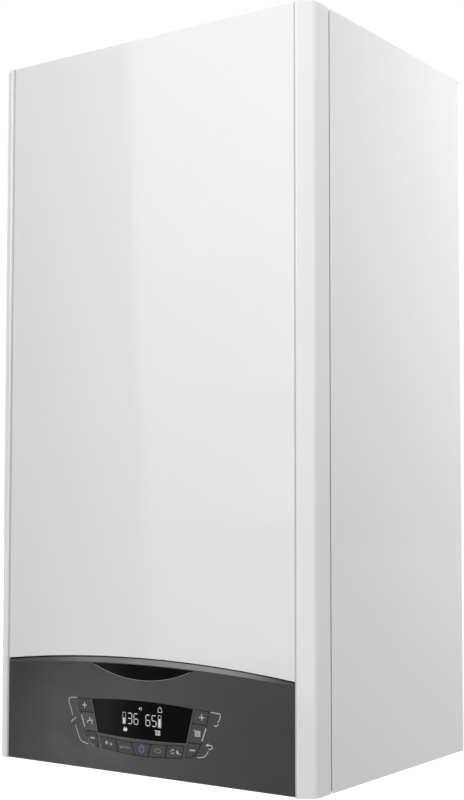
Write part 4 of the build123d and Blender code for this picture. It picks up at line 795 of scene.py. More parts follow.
# %% Bright edges of the key fields
BRIGHT_EDGES = [[(-79.0, 53.6), (-74.3, 41.4)], [(79.7, 53.7), (74.9, 41.1)]]
FAINT_EDGES = [[(-82.9, 69.3), (-79.8, 56.6)], [(-73.3, 39.2), (-70.2, 31.8), (-66.6, 25.4), (-59.9, 23.7)]]
bm = bmesh.new()
draw(bm, BRIGHT_EDGES, 1.25, FASCIA_FACE)
on_panel("field_edges", bm, ink)
bm = bmesh.new()
draw(bm, FAINT_EDGES, 0.7, FASCIA_FACE)
on_panel("field_edges_faint", bm, faint_ink_and_lens_highlight)

# %% [markdown]
# The display shows two temperatures, made of the seven bars of such a display, with a level gauge on each
# side and small symbols above and below. They lie under the window's gloss in reality; here they stand a
# hair proud of it, so that they stay visible in the exported model.

# %% Seven-bar figures
BARS = {"a": ((0, 2), (1, 2)), "b": ((1, 2), (1, 1)), "c": ((1, 1), (1, 0)), "d": ((0, 0), (1, 0)),
        "e": ((0, 1), (0, 0)), "f": ((0, 2), (0, 1)), "g": ((0, 1), (1, 1))}
FIGURES = {"3": "abgcd", "5": "afgcd", "6": "afgedc"}
BAR_LENGTH = 5.2
BAR_GAP = 0.55


def figure(number, x, z):
    """The strokes of one figure, from its lower left corner."""
    strokes = []
    for bar in FIGURES[number]:
        ends = [Vector((x + column * BAR_LENGTH, z + row * BAR_LENGTH)) for column, row in BARS[bar]]
        along = (ends[1] - ends[0]).normalized() * BAR_GAP
        strokes.append([tuple(ends[0] + along), tuple(ends[1] - along)])
    return strokes


FIGURE_FOOT = 49.9
READINGS = (("3", -17.8), ("6", -9.9), ("6", 5.3), ("5", 13.0))
bm = bmesh.new()
for number, x in READINGS:
    draw(bm, figure(number, x, FIGURE_FOOT), 0.85, WINDOW_FACE)
on_panel("display_figures", bm, lit_segment)

# %% Gauges and symbols of the display
GAUGES = ((-24.3, 49.3, 60.6, 55.2), (20.9, 49.2, 61.0, 57.6))
GAUGE_WIDTH = 3.6
GAUGE_WALL = 0.6


def rectangle(left, right, low, high):
    """The four corners of a rectangle, counter-clockwise."""
    return [(left, low), (right, low), (right, high), (left, high)]


bm = bmesh.new()
for left, low, high, filled_to in GAUGES:
    right = left + GAUGE_WIDTH
    corners = rectangle(left, right, low, high)
    draw(bm, list(zip(corners, corners[1:] + corners[:1])), 0.4, WINDOW_FACE)
    column = rectangle(left + GAUGE_WALL, right - GAUGE_WALL, low + GAUGE_WALL, filled_to)
    fill(bm, column, WINDOW_FACE, sharp=True)
draw(bm, [arc((-2.2, 65.7), 2.2, -60, 60, 7)], 0.45, WINDOW_FACE)
fill(bm, arc((-2.6, 65.7), 0.95, 0, 330, 12), WINDOW_FACE)
HOUSE = [[(20.4, 64.3), (20.4, 66.6), (22.9, 70.0), (25.4, 66.6), (25.4, 64.3)], [(20.2, 64.2), (25.6, 64.2)]]
draw(bm, HOUSE, 0.5, WINDOW_FACE)
FLAME = [(-22.6, 42.2), (-23.7, 43.6), (-21.9, 46.6), (-20.9, 44.4), (-19.6, 46.2), (-18.2, 43.6),
         (-19.2, 42.2)]
fill(bm, FLAME, WINDOW_FACE, sharp=True)
draw(bm, [[(x, 41.9), (x, 46.1)] for x in (18.0, 19.6, 21.2, 22.8)], 0.8, WINDOW_FACE)
draw(bm, [[(16.2, 45.9), (23.4, 45.9)], [(17.4, 41.9), (23.4, 41.9)]], 0.6, WINDOW_FACE)
on_panel("display_symbols", bm, lit_segment)

# %% [markdown]
# A raised rim frames the window. Its flanks catch some light, and its grey is painted paler than the
# panel as a painted highlight. The blank lens under the arch has a thin paler line where its polished
# edge meets the panel, also a painted highlight.

# %% Rim of the window and edge of the lens
RIM_TOP = (65.6, 71.3)
RIM_FOOT = (57.2, 36.6)
RIM_LOWEST = 34.0
RIM_PROUD = 0.40
LENS_HALF = 65.0
LENS_TIP = 107.3
LENS_FOOT = 93.3
LENS_GAP = 0.3
LENS_SHORT = 1.5
# The rim's paler grey is a painted highlight on its flanks.
bm = bmesh.new()
for side in (-1, 1):
    flank = [(side * x, z) for x, z in (RIM_TOP, RIM_FOOT)]
    draw(bm, [flank], 1.3, FASCIA_FACE, RIM_PROUD)
lower_edge = [(-RIM_FOOT[0], RIM_FOOT[1]), (0, RIM_LOWEST), RIM_FOOT]
draw(bm, [lower_edge], 0.9, FASCIA_FACE, RIM_PROUD)
complete("window_rim", bm, painted_rim_highlight, "control_panel")
sag = LENS_TIP - LENS_FOOT
sweep = (LENS_HALF ** 2 + sag ** 2) / (2 * sag)
opening = math.degrees(math.asin(LENS_HALF / sweep)) - LENS_SHORT
bm = bmesh.new()
# Painted highlight: a thin paler line along the lens's polished lower edge.
lens_highlight_line = arc((0, LENS_FOOT + sweep + LENS_GAP), sweep, 270 - opening, 270 + opening, 17)
draw(bm, [lens_highlight_line], 0.6, BADGE_FACE)
complete("lens_edge_highlight", bm, faint_ink_and_lens_highlight, "control_panel")
print("pieces on the panel", len(PIECES))

# %% [markdown]
# The rest are small trade parts, which turn the bare solids into an appliance: seals, screws, clips,
# clamps and nuts. They come in families, so a few makers in their own words cover them all: a screw head
# is a profile spun with its socket, a band is a closed profile spun round a pipe, ribs are one bar turned
# about an axis again and again, and a wire is a curve with a round section.

# %% Finishes of trade parts
rubber = moulded("black_rubber", (0.026, 0.026, 0.027), (0.018, 0.018, 0.019), 0.58, 1.2, 0.03)
fibre = moulded("fibre_seal", (0.42, 0.41, 0.37), (0.34, 0.33, 0.29), 0.80, 0.6, 0.05)
mica = finish("mica_glass", (0.060, 0.030, 0.012), 0.09, shine=0.6)
mottle(mica, 5, 3.0, 0.6, (0.030, 0.016, 0.008))
drift(mica, 3, 2.0, 0.16)
spring_steel = finish("spring_steel", (0.45, 0.45, 0.46), 0.30, metallic=1.0)
mottle(spring_steel, 3, 3.0, 0.7, (0.33, 0.32, 0.31))
pebble(spring_steel, 0.6, 2.0, 0.008, (1, 1, 0.2))


# %% Makers of trade parts
UP = Vector((0, 0, 1))
OUT = Vector((0, -1, 0))
IN = Vector((0, 1, 0))
LEFT = Vector((-1, 0, 0))


def standing(foot, axis):
    """The matrix that puts a shape on its foot, in millimetres, and turns its Z to an axis."""
    return Matrix.Translation(Vector(foot) * MM) @ UP.rotation_difference(axis).to_matrix().to_4x4()


def block(bm, low, high, edge, segments=2):
    """A box between two corners in millimetres, with its edges rounded."""
    low = Vector(low) * MM
    high = Vector(high) * MM
    part = bmesh.new()
    bmesh.ops.create_cube(part, size=1.0, matrix=Matrix.Diagonal((*(high - low), 1)))
    bmesh.ops.bevel(part, geom=part.edges[:], offset=edge * MM, affect="EDGES", segments=segments,
                    profile=0.5, material=-1)
    join(bm, part, Matrix.Translation((low + high) / 2))


def turned(bm, profile, foot, axis, steps, closed=False):
    """A profile of (radius, height) in millimetres, spun about an axis that starts at its foot."""
    part = bmesh.new()
    line = [part.verts.new((radius * MM, 0, height * MM)) for radius, height in profile]
    pairs = list(zip(line, line[1:]))
    if closed:
        pairs.append((line[-1], line[0]))
    edges = [part.edges.new(pair) for pair in pairs]
    bmesh.ops.spin(part, geom=line + edges, cent=(0, 0, 0), axis=UP, angle=2 * math.pi, steps=steps,
                   use_merge=True)
    join(bm, part, standing(foot, axis))


def screws(bm, feet, axis, radius, height):
    """Pan heads with a round socket, one on each foot."""
    socket = radius * 0.45
    floor = height * 0.35
    profile = [(0, floor), (socket, floor), (socket, height), (radius * 0.7, height),
               (radius * 0.93, height * 0.8), (radius, height * 0.45), (radius, 0)]
    for foot in feet:
        turned(bm, profile, foot, axis, 20)


def band(bm, foot, axis, inner, outer, low, high, steps=40):
    """A ring with rounded outer edges round an axis, between two heights."""
    soft = min(outer - inner, high - low) * 0.25
    profile = [(inner, low), (outer - soft, low), (outer, low + soft), (outer, high - soft),
               (outer - soft, high), (inner, high)]
    turned(bm, profile, foot, axis, steps, closed=True)


def ribs(bm, foot, axis, radius, low, high, count, width, depth):
    """Bars along an axis and round it, each standing proud of a radius."""
    root = radius - 0.6
    for step in range(count):
        bar = bmesh.new()
        block(bar, (root, -width / 2, low), (radius + depth, width / 2, high), min(width, depth) * 0.3, 1)
        join(bm, bar, standing(foot, axis) @ Matrix.Rotation(2 * math.pi * step / count, 4, "Z"))


def wire(bm, points, radius):
    """A round spring wire that bends softly at its inner points."""
    take(bm, round_lines([points], 2 * radius, 3))


print("makers ready")

# %% [markdown]
# A strip of grey foam tape closes the seam between the cover and each side panel, and its grey darkens
# the seam as painted shade. It lies back from both edges, so the seam shows as a fine darker line. Under
# the casing, rubber edging lines each hole of the bottom plate, and the pipe ends are threaded for their
# unions.

# %% Seam tape
# Painted shade: the tape's grey darkens the seam line.
seam_shade_foam = moulded("seam_shade_foam", (0.36, 0.36, 0.365), (0.30, 0.30, 0.305), 0.85, 1.0, 0.08)
bm = bmesh.new()
for left, right in both_sides(191.4, 199.4):
    block(bm, (left, -281.9, 2.0), (right, -281.0, 743.0), 0.3, 1)
complete("seam_shade_tape", bm, seam_shade_foam)

# %% Rubber edging in the bottom plate
PIPE_PITCH = 65.0
PIPES_Y = -110.0
PIPES = [step * PIPE_PITCH for step in (-2, -1, 0, 1, 2)]
HOLES = [(x, PIPES_Y, 19.0, 18.0) for x in PIPES]
HOLES += [(-70.0, -222.0, 14.0, 12.9), (68.0, -178.0, 9.0, 8.7), (30.0, -150.0, 9.0, 7.4)]
EDGING_LIP = 2.4
bm = bmesh.new()
for x, y, hole, inner in HOLES:
    band(bm, (x, y, 0), UP, inner, hole + EDGING_LIP, 1.1, 4.1)
complete("pipe_edging", bm, rubber)

# %% Threads on the pipe ends
THREAD_PITCH = 1.81
THREAD_DEPTH = 0.34
THREAD_TURNS = 10
THREAD_FOOT = -21.2
THREAD_CORES = (13.22, 10.48, 13.22, 10.48, 13.22)
bm = bmesh.new()
for x, core in zip(PIPES, THREAD_CORES):
    crest = core + THREAD_DEPTH
    profile = [(core - 1.2, -21.9), (core, -21.4)]
    for step in range(THREAD_TURNS):
        foot = THREAD_FOOT + step * THREAD_PITCH
        profile += [(core, foot), (crest, foot + 0.7), (crest, foot + 1.0)]
    profile += [(core, -2.4), (core - 1.2, -2.2)]
    turned(bm, profile, (x, PIPES_Y, 0), UP, 48, closed=True)
complete("pipe_threads", bm, brass)

# %% [markdown]
# The union nuts are of one solid with their copper pipes, so they are told apart by place and turned into
# brass. A separate object for each nut would look the same and only lengthen the list of pieces.

# %% Brass nuts of the copper pipes
NUT_BRASS = (0.66, 0.47, 0.22)
BLOCK_NUTS = ({"z": (100, 118.1)}, {"x": (-140.1, 140.1)})
NUTS = {
    "gas_pipe": ({"z": (-30, 26)}, {"z": (223.9, 240)}),
    "flow_pipe": BLOCK_NUTS,
    "return_pipe": BLOCK_NUTS,
}
for name, places in NUTS.items():
    nutted = variant(copper, name + "_finish")
    for spans in places:
        patch(nutted, NUT_BRASS, 0.36, 1.0, **spans)
    dress(name, nutted)
print("underside dressed")

# %% [markdown]
# On top, both tubes of the flue collar hold a rubber lip seal, the test caps are knurled for the fingers,
# and the spare air intake is shut by a plastic blank. At the back, foam pads keep the casing from
# drumming on the wall.

# %% Flue seals and test caps
FLUE = (0.0, -125.0, 0.0)
LIPS = ((0.3, 8.0), (-0.6, 7.6), (-2.6, 5.4), (-2.2, 4.9), (-0.7, 5.9), (-0.7, 3.6), (-2.2, 1.6),
        (-1.8, 1.1), (-0.4, 1.9), (0.3, 1.7))
bm = bmesh.new()
for bore, top in ((48.0, 771.6), (30.0, 775.6)):
    profile = [(bore + proud, top - drop) for proud, drop in LIPS]
    turned(bm, profile, FLUE, UP, 64, closed=True)
complete("flue_seals", bm, rubber)
bm = bmesh.new()
for x in (-38.0, 38.0):
    ribs(bm, (x, -184.0, 0), UP, 5.9, 754.4, 757.6, 14, 1.2, 0.5)
    screws(bm, [(x, -184.0, 757.5)], UP, 3.4, 0.9)
complete("test_cap_grips", bm, rubber)

# %% Blank of the spare intake
BLANK = (132.0, -125.0, 0.0)
RIBS_LOW = 749.6
RIBS_HIGH = 752.0
bm = bmesh.new()
band(bm, BLANK, UP, 31.0, 45.4, 744.9, 745.7, 56)
complete("blank_gasket", bm, foam)
bm = bmesh.new()
for degrees in (0, 60, 120):
    bar = bmesh.new()
    block(bar, (-27.0, -1.2, RIBS_LOW), (27.0, 1.2, RIBS_HIGH), 0.6)
    join(bm, bar, standing(BLANK, UP) @ Matrix.Rotation(math.radians(degrees), 4, "Z"))
band(bm, BLANK, UP, 26.4, 29.4, RIBS_LOW, RIBS_HIGH, 56)
turned(bm, [(0, 753.0), (6.0, 753.0), (8.0, 752.2), (8.4, RIBS_LOW)], BLANK, UP, 32)
complete("blank_ribs", bm, grey_plastic)
top_zinc = variant(zinc, "top_plate_finish")
patch(top_zinc, (0.30, 0.31, 0.32), 0.42, 0.0, x=(87, 177), y=(-170, -80), z=(745.05, 751))
dress("top_plate", top_zinc)

# %% Wall pads
PAD_HEIGHT = 46.0
bm = bmesh.new()
for left, right in both_sides(180.0, 194.0):
    for low in (120.0, 560.0):
        block(bm, (left, -2.85, low), (right, -0.15, low + PAD_HEIGHT), 0.6)
complete("wall_pads", bm, foam)
print("top and back dressed")

# %% [markdown]
# The sheet in front of the sealed chamber has a mica window over the flame, two over-centre clips along
# its top and two finger screws below. They all leave with the sheet, so they ride on it.

# %% Chamber panel fittings
PANEL_RIM = -284.0
PANEL_FIELD = -291.0
WINDOW = (-62.0, PANEL_FIELD, 560.0)
TAB_CIRCLE = 18.5
CLIP_WIRE = ((-7.5, -288.0, 733.5), (-7.5, -291.6, 737.5), (-7.5, -291.4, 722.0), (0.0, -292.8, 714.0),
             (7.5, -291.4, 722.0), (7.5, -291.6, 737.5), (7.5, -288.0, 733.5))
bm = bmesh.new()
band(bm, WINDOW, OUT, 10.5, 17.0, -0.6, 2.2, 48)
for x, z in around_point((WINDOW[0], WINDOW[2]), TAB_CIRCLE, (90, 210, 330)):
    turned(bm, [(0, 1.4), (4.6, 1.4), (5.2, 0.9), (5.2, 0)], (x, PANEL_FIELD - 0.2, z), OUT, 24)
    screws(bm, [(x, PANEL_FIELD - 1.4, z)], OUT, 2.4, 1.5)
complete("window_bezel", bm, zinc_screw, "chamber_panel")
bm = bmesh.new()
turned(bm, [(0, 1.5), (5.0, 1.35), (9.0, 0.9), (11.0, 0.4), (11.0, -0.4)], WINDOW, OUT, 40)
complete("window_mica", bm, mica, "chamber_panel")
bm = bmesh.new()
for x in (-120.0, 120.0):
    block(bm, (x - 9, -289.4, 727.0), (x + 9, -286.2, 735.5), 0.8)
    block(bm, (x - 5.5, -292.2, 708.0), (x + 5.5, -290.6, 733.0), 0.6)
    wire(bm, [(x + across, y, z) for across, y, z in CLIP_WIRE], 1.0)
complete("panel_clips", bm, spring_steel, "chamber_panel")
bm = bmesh.new()
for x in (-150.0, 150.0):
    foot = (x, PANEL_RIM, 138.2)
    turned(bm, [(0, 4.6), (1.8, 4.6), (1.8, 6.0), (4.6, 6.0), (5.4, 5.4), (5.4, 0)], foot, OUT, 28)
    ribs(bm, foot, OUT, 5.4, 0.6, 5.2, 18, 0.8, 0.4)
complete("panel_screws", bm, black_plastic, "chamber_panel")

# %% [markdown]
# The burner side. A white fibre seal shows as a thin line between the drum and its door, weld beads run
# round the drum's ends, and each casting is held by its own screws.

# %% Seals, beads and screws of the burner side
DRUM = (0.0, 0.0, 520.0)
BEAD = ((104.0, -1.6), (105.6, -1.2), (106.2, 0.0), (105.6, 1.2), (104.0, 1.6))
bm = bmesh.new()
band(bm, DRUM, OUT, 108.0, 113.5, 237.2, 238.8, 96)
complete("door_seal", bm, fibre)
bm = bmesh.new()
for depth in (93.0, 236.0):
    turned(bm, [(radius, depth + along) for radius, along in BEAD], DRUM, OUT, 96, closed=True)
for z in (641.2, 739.0):
    band(bm, FLUE, UP, 37.0, 41.5, z - 0.8, z + 0.8, 64)
complete("drum_beads", bm, stainless)
FAN = (40.0, -165.0)
ELECTRODES = around_point((DRUM[0], DRUM[2]), 72.0, (45, 15, -15))
FAN_EARS = around_point(FAN, 62.0, (0, 60, 120, 240, 300))
ELECTRODE_PLATES = -251.0
EARS_TOP = 372.0
GAS_VALVE_FACE = -205.0
DUCT_SCREWS = -252.0
TRANSFORMER_FACE = -240.0
bm = bmesh.new()
for x, z in ELECTRODES:
    screws(bm, [(x + 4.6, ELECTRODE_PLATES, z - 3.4), (x - 4.6, ELECTRODE_PLATES, z + 3.4)], OUT, 1.7, 1.3)
screws(bm, [(x, y, EARS_TOP) for x, y in FAN_EARS], UP, 3.6, 3.0)
screws(bm, [(x, GAS_VALVE_FACE, z) for x in (101.0, 153.0) for z in (252.0, 320.0)], OUT, 3.0, 2.4)
screws(bm, [(x, DUCT_SCREWS, z) for x in (-23.0, 23.0) for z in (338.0, 372.0)], OUT, 2.6, 2.0)
screws(bm, [(-166.0, TRANSFORMER_FACE, z) for z in (301.0, 371.0)], OUT, 2.6, 1.8)
complete("burner_side_screws", bm, zinc_screw)

# %% Fan cap, silencer seam and transformer ribs
RIB_PITCH = 6.0
FAN_AXIS = (*FAN, 0)
bm = bmesh.new()
turned(bm, [(0, 407.2), (9.0, 407.2), (10.5, 406.6), (10.5, 405.6)], FAN_AXIS, UP, 32)
ribs(bm, FAN_AXIS, UP, 13.0, 405.8, 406.9, 16, 1.6, 11.0)
block(bm, (71.0, -171.0, 391.8), (85.0, -159.0, 394.6), 0.8)
block(bm, (-150.7, -142.0, 195.3), (-27.3, -139.8, 268.7), 0.5)
for x in (-120.0, -60.0):
    block(bm, (x - 6, -147.0, 268.4), (x + 6, -135.0, 270.6), 0.7)
for step in range(7):
    y = -234.0 + step * RIB_PITCH
    block(bm, (-160.4, y, 304.0), (-158.9, y + 2.6, 368.0), 0.5)
BOOT = [(4.0, 388.0), (6.4, 388.0), (6.8, 390.0), (6.2, 396.0), (3.6, 400.0)]
turned(bm, BOOT, (-172.0, -216.0, 0), UP, 28)
complete("moulded_details", bm, black_plastic)

# %% [markdown]
# The vessel hangs in a strap that is screwed to the back plate, and its charging valve wears a cap. Clips
# hold the long pipes off the side panels, and spring clamps hold the temperature probes and both ends of
# the drain hose.

# %% Vessel strap and valve cap
STRAP_FOOT = 450.0
STRAP_TOP = 470.0
STRAP_MIDDLE = (STRAP_FOOT + STRAP_TOP) / 2
bm = bmesh.new()
block(bm, (-171.2, -77.6, STRAP_FOOT), (171.2, -76.2, STRAP_TOP), 0.5)
for wall, flap in zip(both_sides(169.9, 171.2), both_sides(170.0, 186.0)):
    block(bm, (wall[0], -77.6, STRAP_FOOT), (wall[1], -4.2, STRAP_TOP), 0.4)
    block(bm, (flap[0], -5.4, STRAP_FOOT), (flap[1], -4.2, STRAP_TOP), 0.4)
screws(bm, [(x, -5.3, STRAP_MIDDLE) for x in (-179.0, 179.0)], OUT, 3.6, 2.2)
screws(bm, [(0.0, -77.5, STRAP_MIDDLE)], OUT, 4.2, 2.6)
complete("vessel_strap", bm, zinc)
VALVE = (-140.0, -82.0, 640.0)
bm = bmesh.new()
turned(bm, [(0, 11.0), (4.4, 11.0), (5.8, 9.6), (6.2, 0.0), (4.8, 0.0)], VALVE, OUT, 28)
ribs(bm, VALVE, OUT, 5.9, 0.8, 8.6, 14, 1.1, 0.6)
complete("valve_cap", bm, black_plastic)

# %% Pipe clips, probes and hose clamps
RISERS_Y = -120.0
PROBES = ((-170.0, 505.0), (175.0, 330.0))
CLIPS = ((-170.0, -198.6, -181.0), (175.0, 186.0, 198.6))
HOSE = (-70.0, -222.0, 0.0)
EAR_WIDTH = 1.0
CLIP_HEIGHT = 12.0
bm = bmesh.new()
for pipe, left, right in CLIPS:
    for z in (250.0, 420.0):
        band(bm, (pipe, RISERS_Y, 0), UP, 9.1, 12.0, z, z + CLIP_HEIGHT)
        block(bm, (left, -126.0, z + 1), (right, -114.0, z + 11), 1.0)
for x, z in PROBES:
    block(bm, (x - 5.0, -142.0, z - 9), (x + 5.0, -129.5, z + 9), 1.6, 3)
complete("pipe_clips", bm, black_plastic)
bm = bmesh.new()
for x, z in PROBES:
    band(bm, (x, RISERS_Y, 0), UP, 9.1, 10.0, z - 4, z + 4)
for z in (131.4, 404.0):
    band(bm, HOSE, UP, 11.2, 12.2, z, z + 5.0)
    for left in (-73.2, -67.8):
        block(bm, (left, -240.0, z + 0.6), (left + EAR_WIDTH, -233.0, z + 4.4), 0.3, 1)
band(bm, FAN_AXIS, UP, 25.0, 26.2, 281.0, 287.0, 56)
block(bm, (36.0, -197.0, 281.4), (44.0, -190.5, 286.6), 0.6)
complete("spring_clamps", bm, spring_steel)
print("burner side dressed")

# %% [markdown]
# The water side. The diverter motor is held by a bent wire, the pump by four socket screws, and the
# terminal box has a lid with its seam. The clear cup of the trap is stiffened by fine rings.

# %% Water side fittings
PUMP = (130.0, 62.0)
PUMP_SCREWS = around_point(PUMP, 39.2, (50, 130, 230, 310))
PUMP_FLANGE = -205.0
TERMINALS_TOP = 114.0
DIVERTER_FACE = -248.0
BLOCKS_TOP = 92.0
MOTOR_WIRE = [(-150.0, -207.6, 96.0), (-157.0, -207.6, 88.0), (-157.5, -207.6, 52.0), (-135.0, -207.6, 36.0),
              (-112.5, -207.6, 52.0), (-113.0, -207.6, 88.0), (-120.0, -207.6, 96.0)]
GLAND = [(0, 13.0), (3.0, 13.0), (3.0, 12.0), (5.2, 12.0), (6.4, 10.4), (6.4, 3.4), (7.6, 3.2), (7.6, 0)]
bm = bmesh.new()
wire(bm, MOTOR_WIRE, 1.1)
screws(bm, [(x, PUMP_FLANGE, z) for x, z in PUMP_SCREWS], OUT, 2.6, 4.0)
screws(bm, [(x, y, TERMINALS_TOP) for x, y in ((112.5, -211.0), (147.5, -237.0))], UP, 2.6, 1.6)
screws(bm, [(x, DIVERTER_FACE, z) for z in (50.0, 84.0) for x in (-154.0, -116.0)], OUT, 2.4, 1.6)
screws(bm, [(x, -100.0, BLOCKS_TOP) for x in (-174.0, -114.0, 110.0, 178.0)], UP, 3.4, 2.6)
complete("water_side_screws", bm, zinc_screw)
bm = bmesh.new()
block(bm, (107.5, -242.5, 107.2), (152.5, -205.5, 108.4), 0.4)
turned(bm, GLAND, (108.0, -224.0, 101.0), LEFT, 24)
block(bm, (-142.0, -236.0, 99.8), (-128.0, -222.0, 103.0), 0.8)
block(bm, (60.0, -138.4, 40.6), (70.0, -132.0, 43.0), 0.6)
complete("plugs_and_gland", bm, black_plastic)
RING_HEIGHT = 1.2
bm = bmesh.new()
for z in range(50, 91, 8):
    band(bm, HOSE, UP, 25.4, 26.5, z, z + RING_HEIGHT, 56)
complete("cup_rings", bm, cup_plastic)

# %% [markdown]
# Folding the panel down turns the back of its box upwards, so that back needs care as well: a raised rim,
# two rows of ribs, screws, and a blank field where a plate with data would be. All of it rides on the
# panel.

# %% Back of the control box
BOX_BACK = -258.0
BOX_SKIN = BOX_BACK - 0.2
RIM = ((-163.0, 163.0, 7.0, 9.4), (-163.0, 163.0, 87.2, 89.6), (-163.0, -160.6, 7.0, 89.6),
       (160.6, 163.0, 7.0, 89.6))
SLOT_PITCH = 5.4
bm = bmesh.new()
for left, right, low, high in RIM:
    block(bm, (left, BOX_SKIN, low), (right, BOX_BACK + 0.9, high), 0.3, 1)
for first in (-146.0, -36.0):
    for step in range(14):
        x = first + step * SLOT_PITCH
        block(bm, (x, BOX_SKIN, 24.0), (x + 2.4, BOX_BACK + 1.2, 60.0), 0.4, 1)
complete("box_back_ribs", bm, grey_plastic, "control_panel")
bm = bmesh.new()
screws(bm, [(x, BOX_BACK, z) for x in (-152.0, -50.0, 50.0, 152.0) for z in (14.0, 82.0)], IN, 3.0, 1.4)
complete("box_screws", bm, zinc_screw, "control_panel")
print("pieces in all", len(PIECES))

# %% [markdown]
# The studio. The photo has a pure white ground and soft light that falls from the front right. The floor
# lies well below, because the boiler hangs on a wall. The white is seen only by the camera's rays and by
# mirrored ones, so the ground stays white without more light on the boiler, and the floor still takes its
# shadow.

# %% Floor and surroundings
WHITE = (1, 1, 1, 1)
FLOOR_Z = -1.1
FLOOR_HALF = 40.0
FLOOR_GLOW = 0.68
FAR_GLOW = 0.88
NEAR = 1.9
FAR = 4.0
AMBIENT = 0.33


def seen_white(tree):
    """A mask that is 1 for the camera's own, mirrored and transmitted rays."""
    rays = tree.nodes.new("ShaderNodeLightPath")
    mask = rays.outputs["Is Camera Ray"]
    for kind in ("Is Glossy Ray", "Is Transmission Ray"):
        either = tree.nodes.new("ShaderNodeMath")
        either.operation = "MAXIMUM"
        tree.links.new(mask, either.inputs[0])
        tree.links.new(rays.outputs[kind], either.inputs[1])
        mask = either.outputs["Value"]
    return mask


def sheet(name, half, matrix, material):
    """A flat sheet of the studio, with half its side before a matrix places it."""
    flat = bmesh.new()
    bmesh.ops.create_grid(flat, x_segments=1, y_segments=1, size=half, matrix=matrix)
    mesh = bpy.data.meshes.new(name)
    flat.to_mesh(mesh)
    flat.free()
    mesh.materials.append(material)
    laid = bpy.data.objects.new(name, mesh)
    bpy.context.scene.collection.objects.link(laid)
    return laid


floor_white = finish("studio_white", (0.60, 0.60, 0.60), 0.9)
surface(floor_white).inputs["Emission Color"].default_value = WHITE
reach = node(floor_white, "ShaderNodeVectorMath", operation="LENGTH")
link(floor_white, place(floor_white), reach.inputs[0])
paler = spread(floor_white, reach.outputs["Value"], FLOOR_GLOW, FAR_GLOW, NEAR, FAR)
glow = node(floor_white, "ShaderNodeMath", operation="MULTIPLY")
link(floor_white, seen_white(floor_white.node_tree), glow.inputs[0])
link(floor_white, paler, glow.inputs[1])
link(floor_white, glow.outputs["Value"], surface(floor_white).inputs["Emission Strength"])
floor = sheet("studio_floor", FLOOR_HALF, Matrix.Translation((0, 0, FLOOR_Z)), floor_white)

world = bpy.data.worlds.new("studio")
bpy.context.scene.world = world
world.use_nodes = True
sky = world.node_tree
sky.nodes["Background"].inputs["Color"].default_value = WHITE
strength = sky.nodes.new("ShaderNodeMix")
strength.inputs["A"].default_value = AMBIENT
strength.inputs["B"].default_value = 1.0
sky.links.new(seen_white(sky), strength.inputs["Factor"])
sky.links.new(strength.outputs["Result"], sky.nodes["Background"].inputs["Strength"])

# %% [markdown]
# The lamps are soft boxes, each given by where it stands, what it looks at, its size and how bright its
# face is. One large box in front lights both white sides. Two small ones stand close to the right side's
# rear edge, because the photo's side brightens towards the wall. A last one behind the boiler is for the
# views that the photo doesn't show.

# %% Soft boxes
AIM = Vector((0.0, -0.16, 0.40))


def soft_box(name, centre, target, width, height, radiance, lean=0.0):
    """A rectangular lamp that looks at a point, leaning by an angle about its own axis."""
    lamp = bpy.data.lights.new(name, "AREA")
    lamp.shape = "RECTANGLE"
    lamp.size = width
    lamp.size_y = height
    lamp.energy = radiance * math.pi * width * height
    holder = bpy.data.objects.new(name, lamp)
    turn = (Vector(target) - Vector(centre)).to_track_quat("-Z", "Y").to_matrix().to_4x4()
    holder.matrix_world = Matrix.Translation(centre) @ turn @ Matrix.Rotation(lean, 4, "Z")
    holder.visible_camera = False
    bpy.context.scene.collection.objects.link(holder)
    return holder


def around(azimuth, elevation, distance=2.3):
    """A point around the boiler, with azimuth 0 in front and 90 on the right."""
    turn = math.radians(azimuth)
    rise = math.radians(elevation)
    way = Vector((math.sin(turn) * math.cos(rise), -math.cos(turn) * math.cos(rise), math.sin(rise)))
    return AIM + way * distance


soft_box("front_box", around(19, 25), AIM, 1.4, 1.2, 6.8)
soft_box("back_box", around(212, 25), AIM, 1.6, 1.6, 3.0)
SIDE_AIM = (0.2, -0.05, 0.55)
for name, centre, radiance in (("rear_box", (0.80, 0.50, 0.60), 6.2), ("near_box", (0.57, 0.0, 0.90), 1.5)):
    soft_box(name, centre, SIDE_AIM, 0.3, 0.6, radiance).visible_glossy = False

# %% [markdown]
# The upright line on the white face is the left edge of a tall box, seen as in a mirror. A flat mirror
# shows what lies behind it, so the box stands where the camera's rays go after the face, worked out with
# one scale about the camera. It gives mirrored light alone and fades towards its foot, as the photo does.
# Three more cards are mirrored by the bevelled column on the right, by the arch and by the left end of
# the dark panel.

# %% Mirrored boxes
FACE_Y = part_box("control_fascia")[0][1]
MIRROR_Y = -3.0
REACH = 1.0 + (FACE_Y - MIRROR_Y) / (FACE_Y - camera.location.y)


def mirrored_point(x, z):
    """Where a ray from the camera, mirrored at a point of the face, meets the plane of the boxes."""
    at_x = camera.location.x + REACH * (x - camera.location.x)
    at_z = camera.location.z + REACH * (z - camera.location.z)
    return Vector((at_x, MIRROR_Y, at_z))


def card(name, centre, width, height, radiance, lean=0.0):
    """A box that faces the wall and gives mirrored light alone."""
    centre = Vector(centre)
    soft_box(name, centre, centre + IN, width, height, radiance, lean).visible_diffuse = False


def mirrored_card(name, left_low, left_high, width, radiance):
    """A card given by the two ends of its left edge, as the face mirrors them."""
    low = mirrored_point(*left_low)
    high = mirrored_point(*left_high)
    edge = high - low
    lean = math.atan2(-edge.x, edge.z)
    right = Vector((math.cos(lean), 0, math.sin(lean)))
    centre = (low + high) / 2 + right * width / 2
    card(name, centre, width, edge.length, radiance, lean)


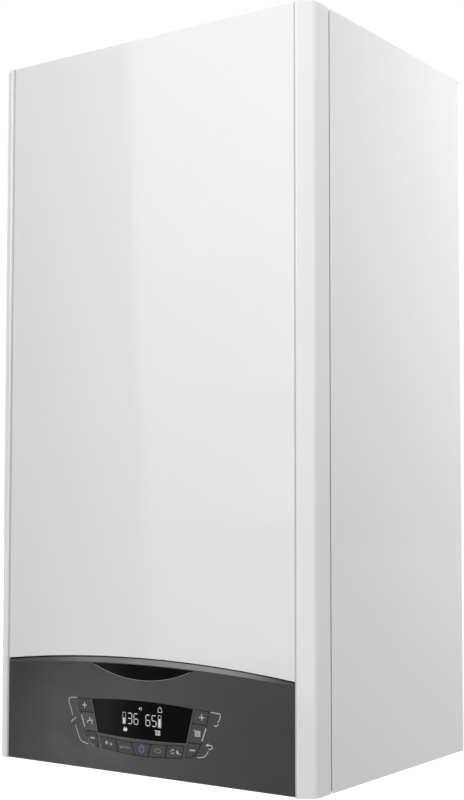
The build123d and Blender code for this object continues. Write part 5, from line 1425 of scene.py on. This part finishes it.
EDGE_LOW = (0.0091, 0.116)
EDGE_HIGH = (-0.0226, 0.760)
TALL_BRIGHT = (0.6, 1.1, 1.45, 1.6, 1.6)
TALL_WIDTH = 1.5
STEPS = len(TALL_BRIGHT)
for step, radiance in enumerate(TALL_BRIGHT):
    ends = []
    for share in (step / STEPS, (step + 1) / STEPS):
        ends.append(tuple(a + (b - a) * share for a, b in zip(EDGE_LOW, EDGE_HIGH)))
    mirrored_card("tall_box_%d" % step, *ends, TALL_WIDTH, radiance)
CARDS = (
    ("low_card", (-2.42, -3.0, -0.84), 0.30, 1.12, 4.6),
    ("arch_card", (-2.15, -3.0, 2.44), 2.5, 0.92, 7.6),
    ("column_card", (1.93, -2.75, 0.95), 0.9, 2.6, 0.9),
)
for name, *measures in CARDS:
    card(name, *measures)

# %% [markdown]
# White things on white need a dark side to keep their edge. A grey screen on the left, seen only in
# mirrored light and fading towards the middle, darkens the left end of the panel and of the white face,
# as in the photo.

# %% Grey screen
SCREEN_Y = -3.2
SCREEN_LOW = (-5.5, -2.5)
SCREEN_HIGH = (-2.5, 2.05)
FADE_START = -2.95
screen_grey = finish("screen_grey", (0, 0, 0), 0.5, shine=0.0)
surface(screen_grey).inputs["Emission Color"].default_value = WHITE
across = node(screen_grey, "ShaderNodeSeparateXYZ")
link(screen_grey, place(screen_grey), across.inputs["Vector"])
fade = spread(screen_grey, across.outputs["X"], 0.10, 1.0, FADE_START, SCREEN_HIGH[0])
link(screen_grey, fade, surface(screen_grey).inputs["Emission Strength"])
middle = ((SCREEN_LOW[0] + SCREEN_HIGH[0]) / 2, SCREEN_Y, (SCREEN_LOW[1] + SCREEN_HIGH[1]) / 2)
stretch = (SCREEN_HIGH[0] - SCREEN_LOW[0], SCREEN_HIGH[1] - SCREEN_LOW[1], 1.0, 1.0)
upright = Matrix.Translation(middle) @ Matrix.Rotation(math.pi / 2, 4, "X") @ Matrix.Diagonal(stretch)
screen = sheet("grey_screen", 0.5, upright, screen_grey)
for ray in ("camera", "diffuse", "transmission", "volume_scatter", "shadow"):
    setattr(screen, "visible_" + ray, False)

# %% [markdown]
# The view transform is set to Standard, so that a colour renders about as it is written.

# %% Finish
bpy.context.scene.view_settings.view_transform = "Standard"
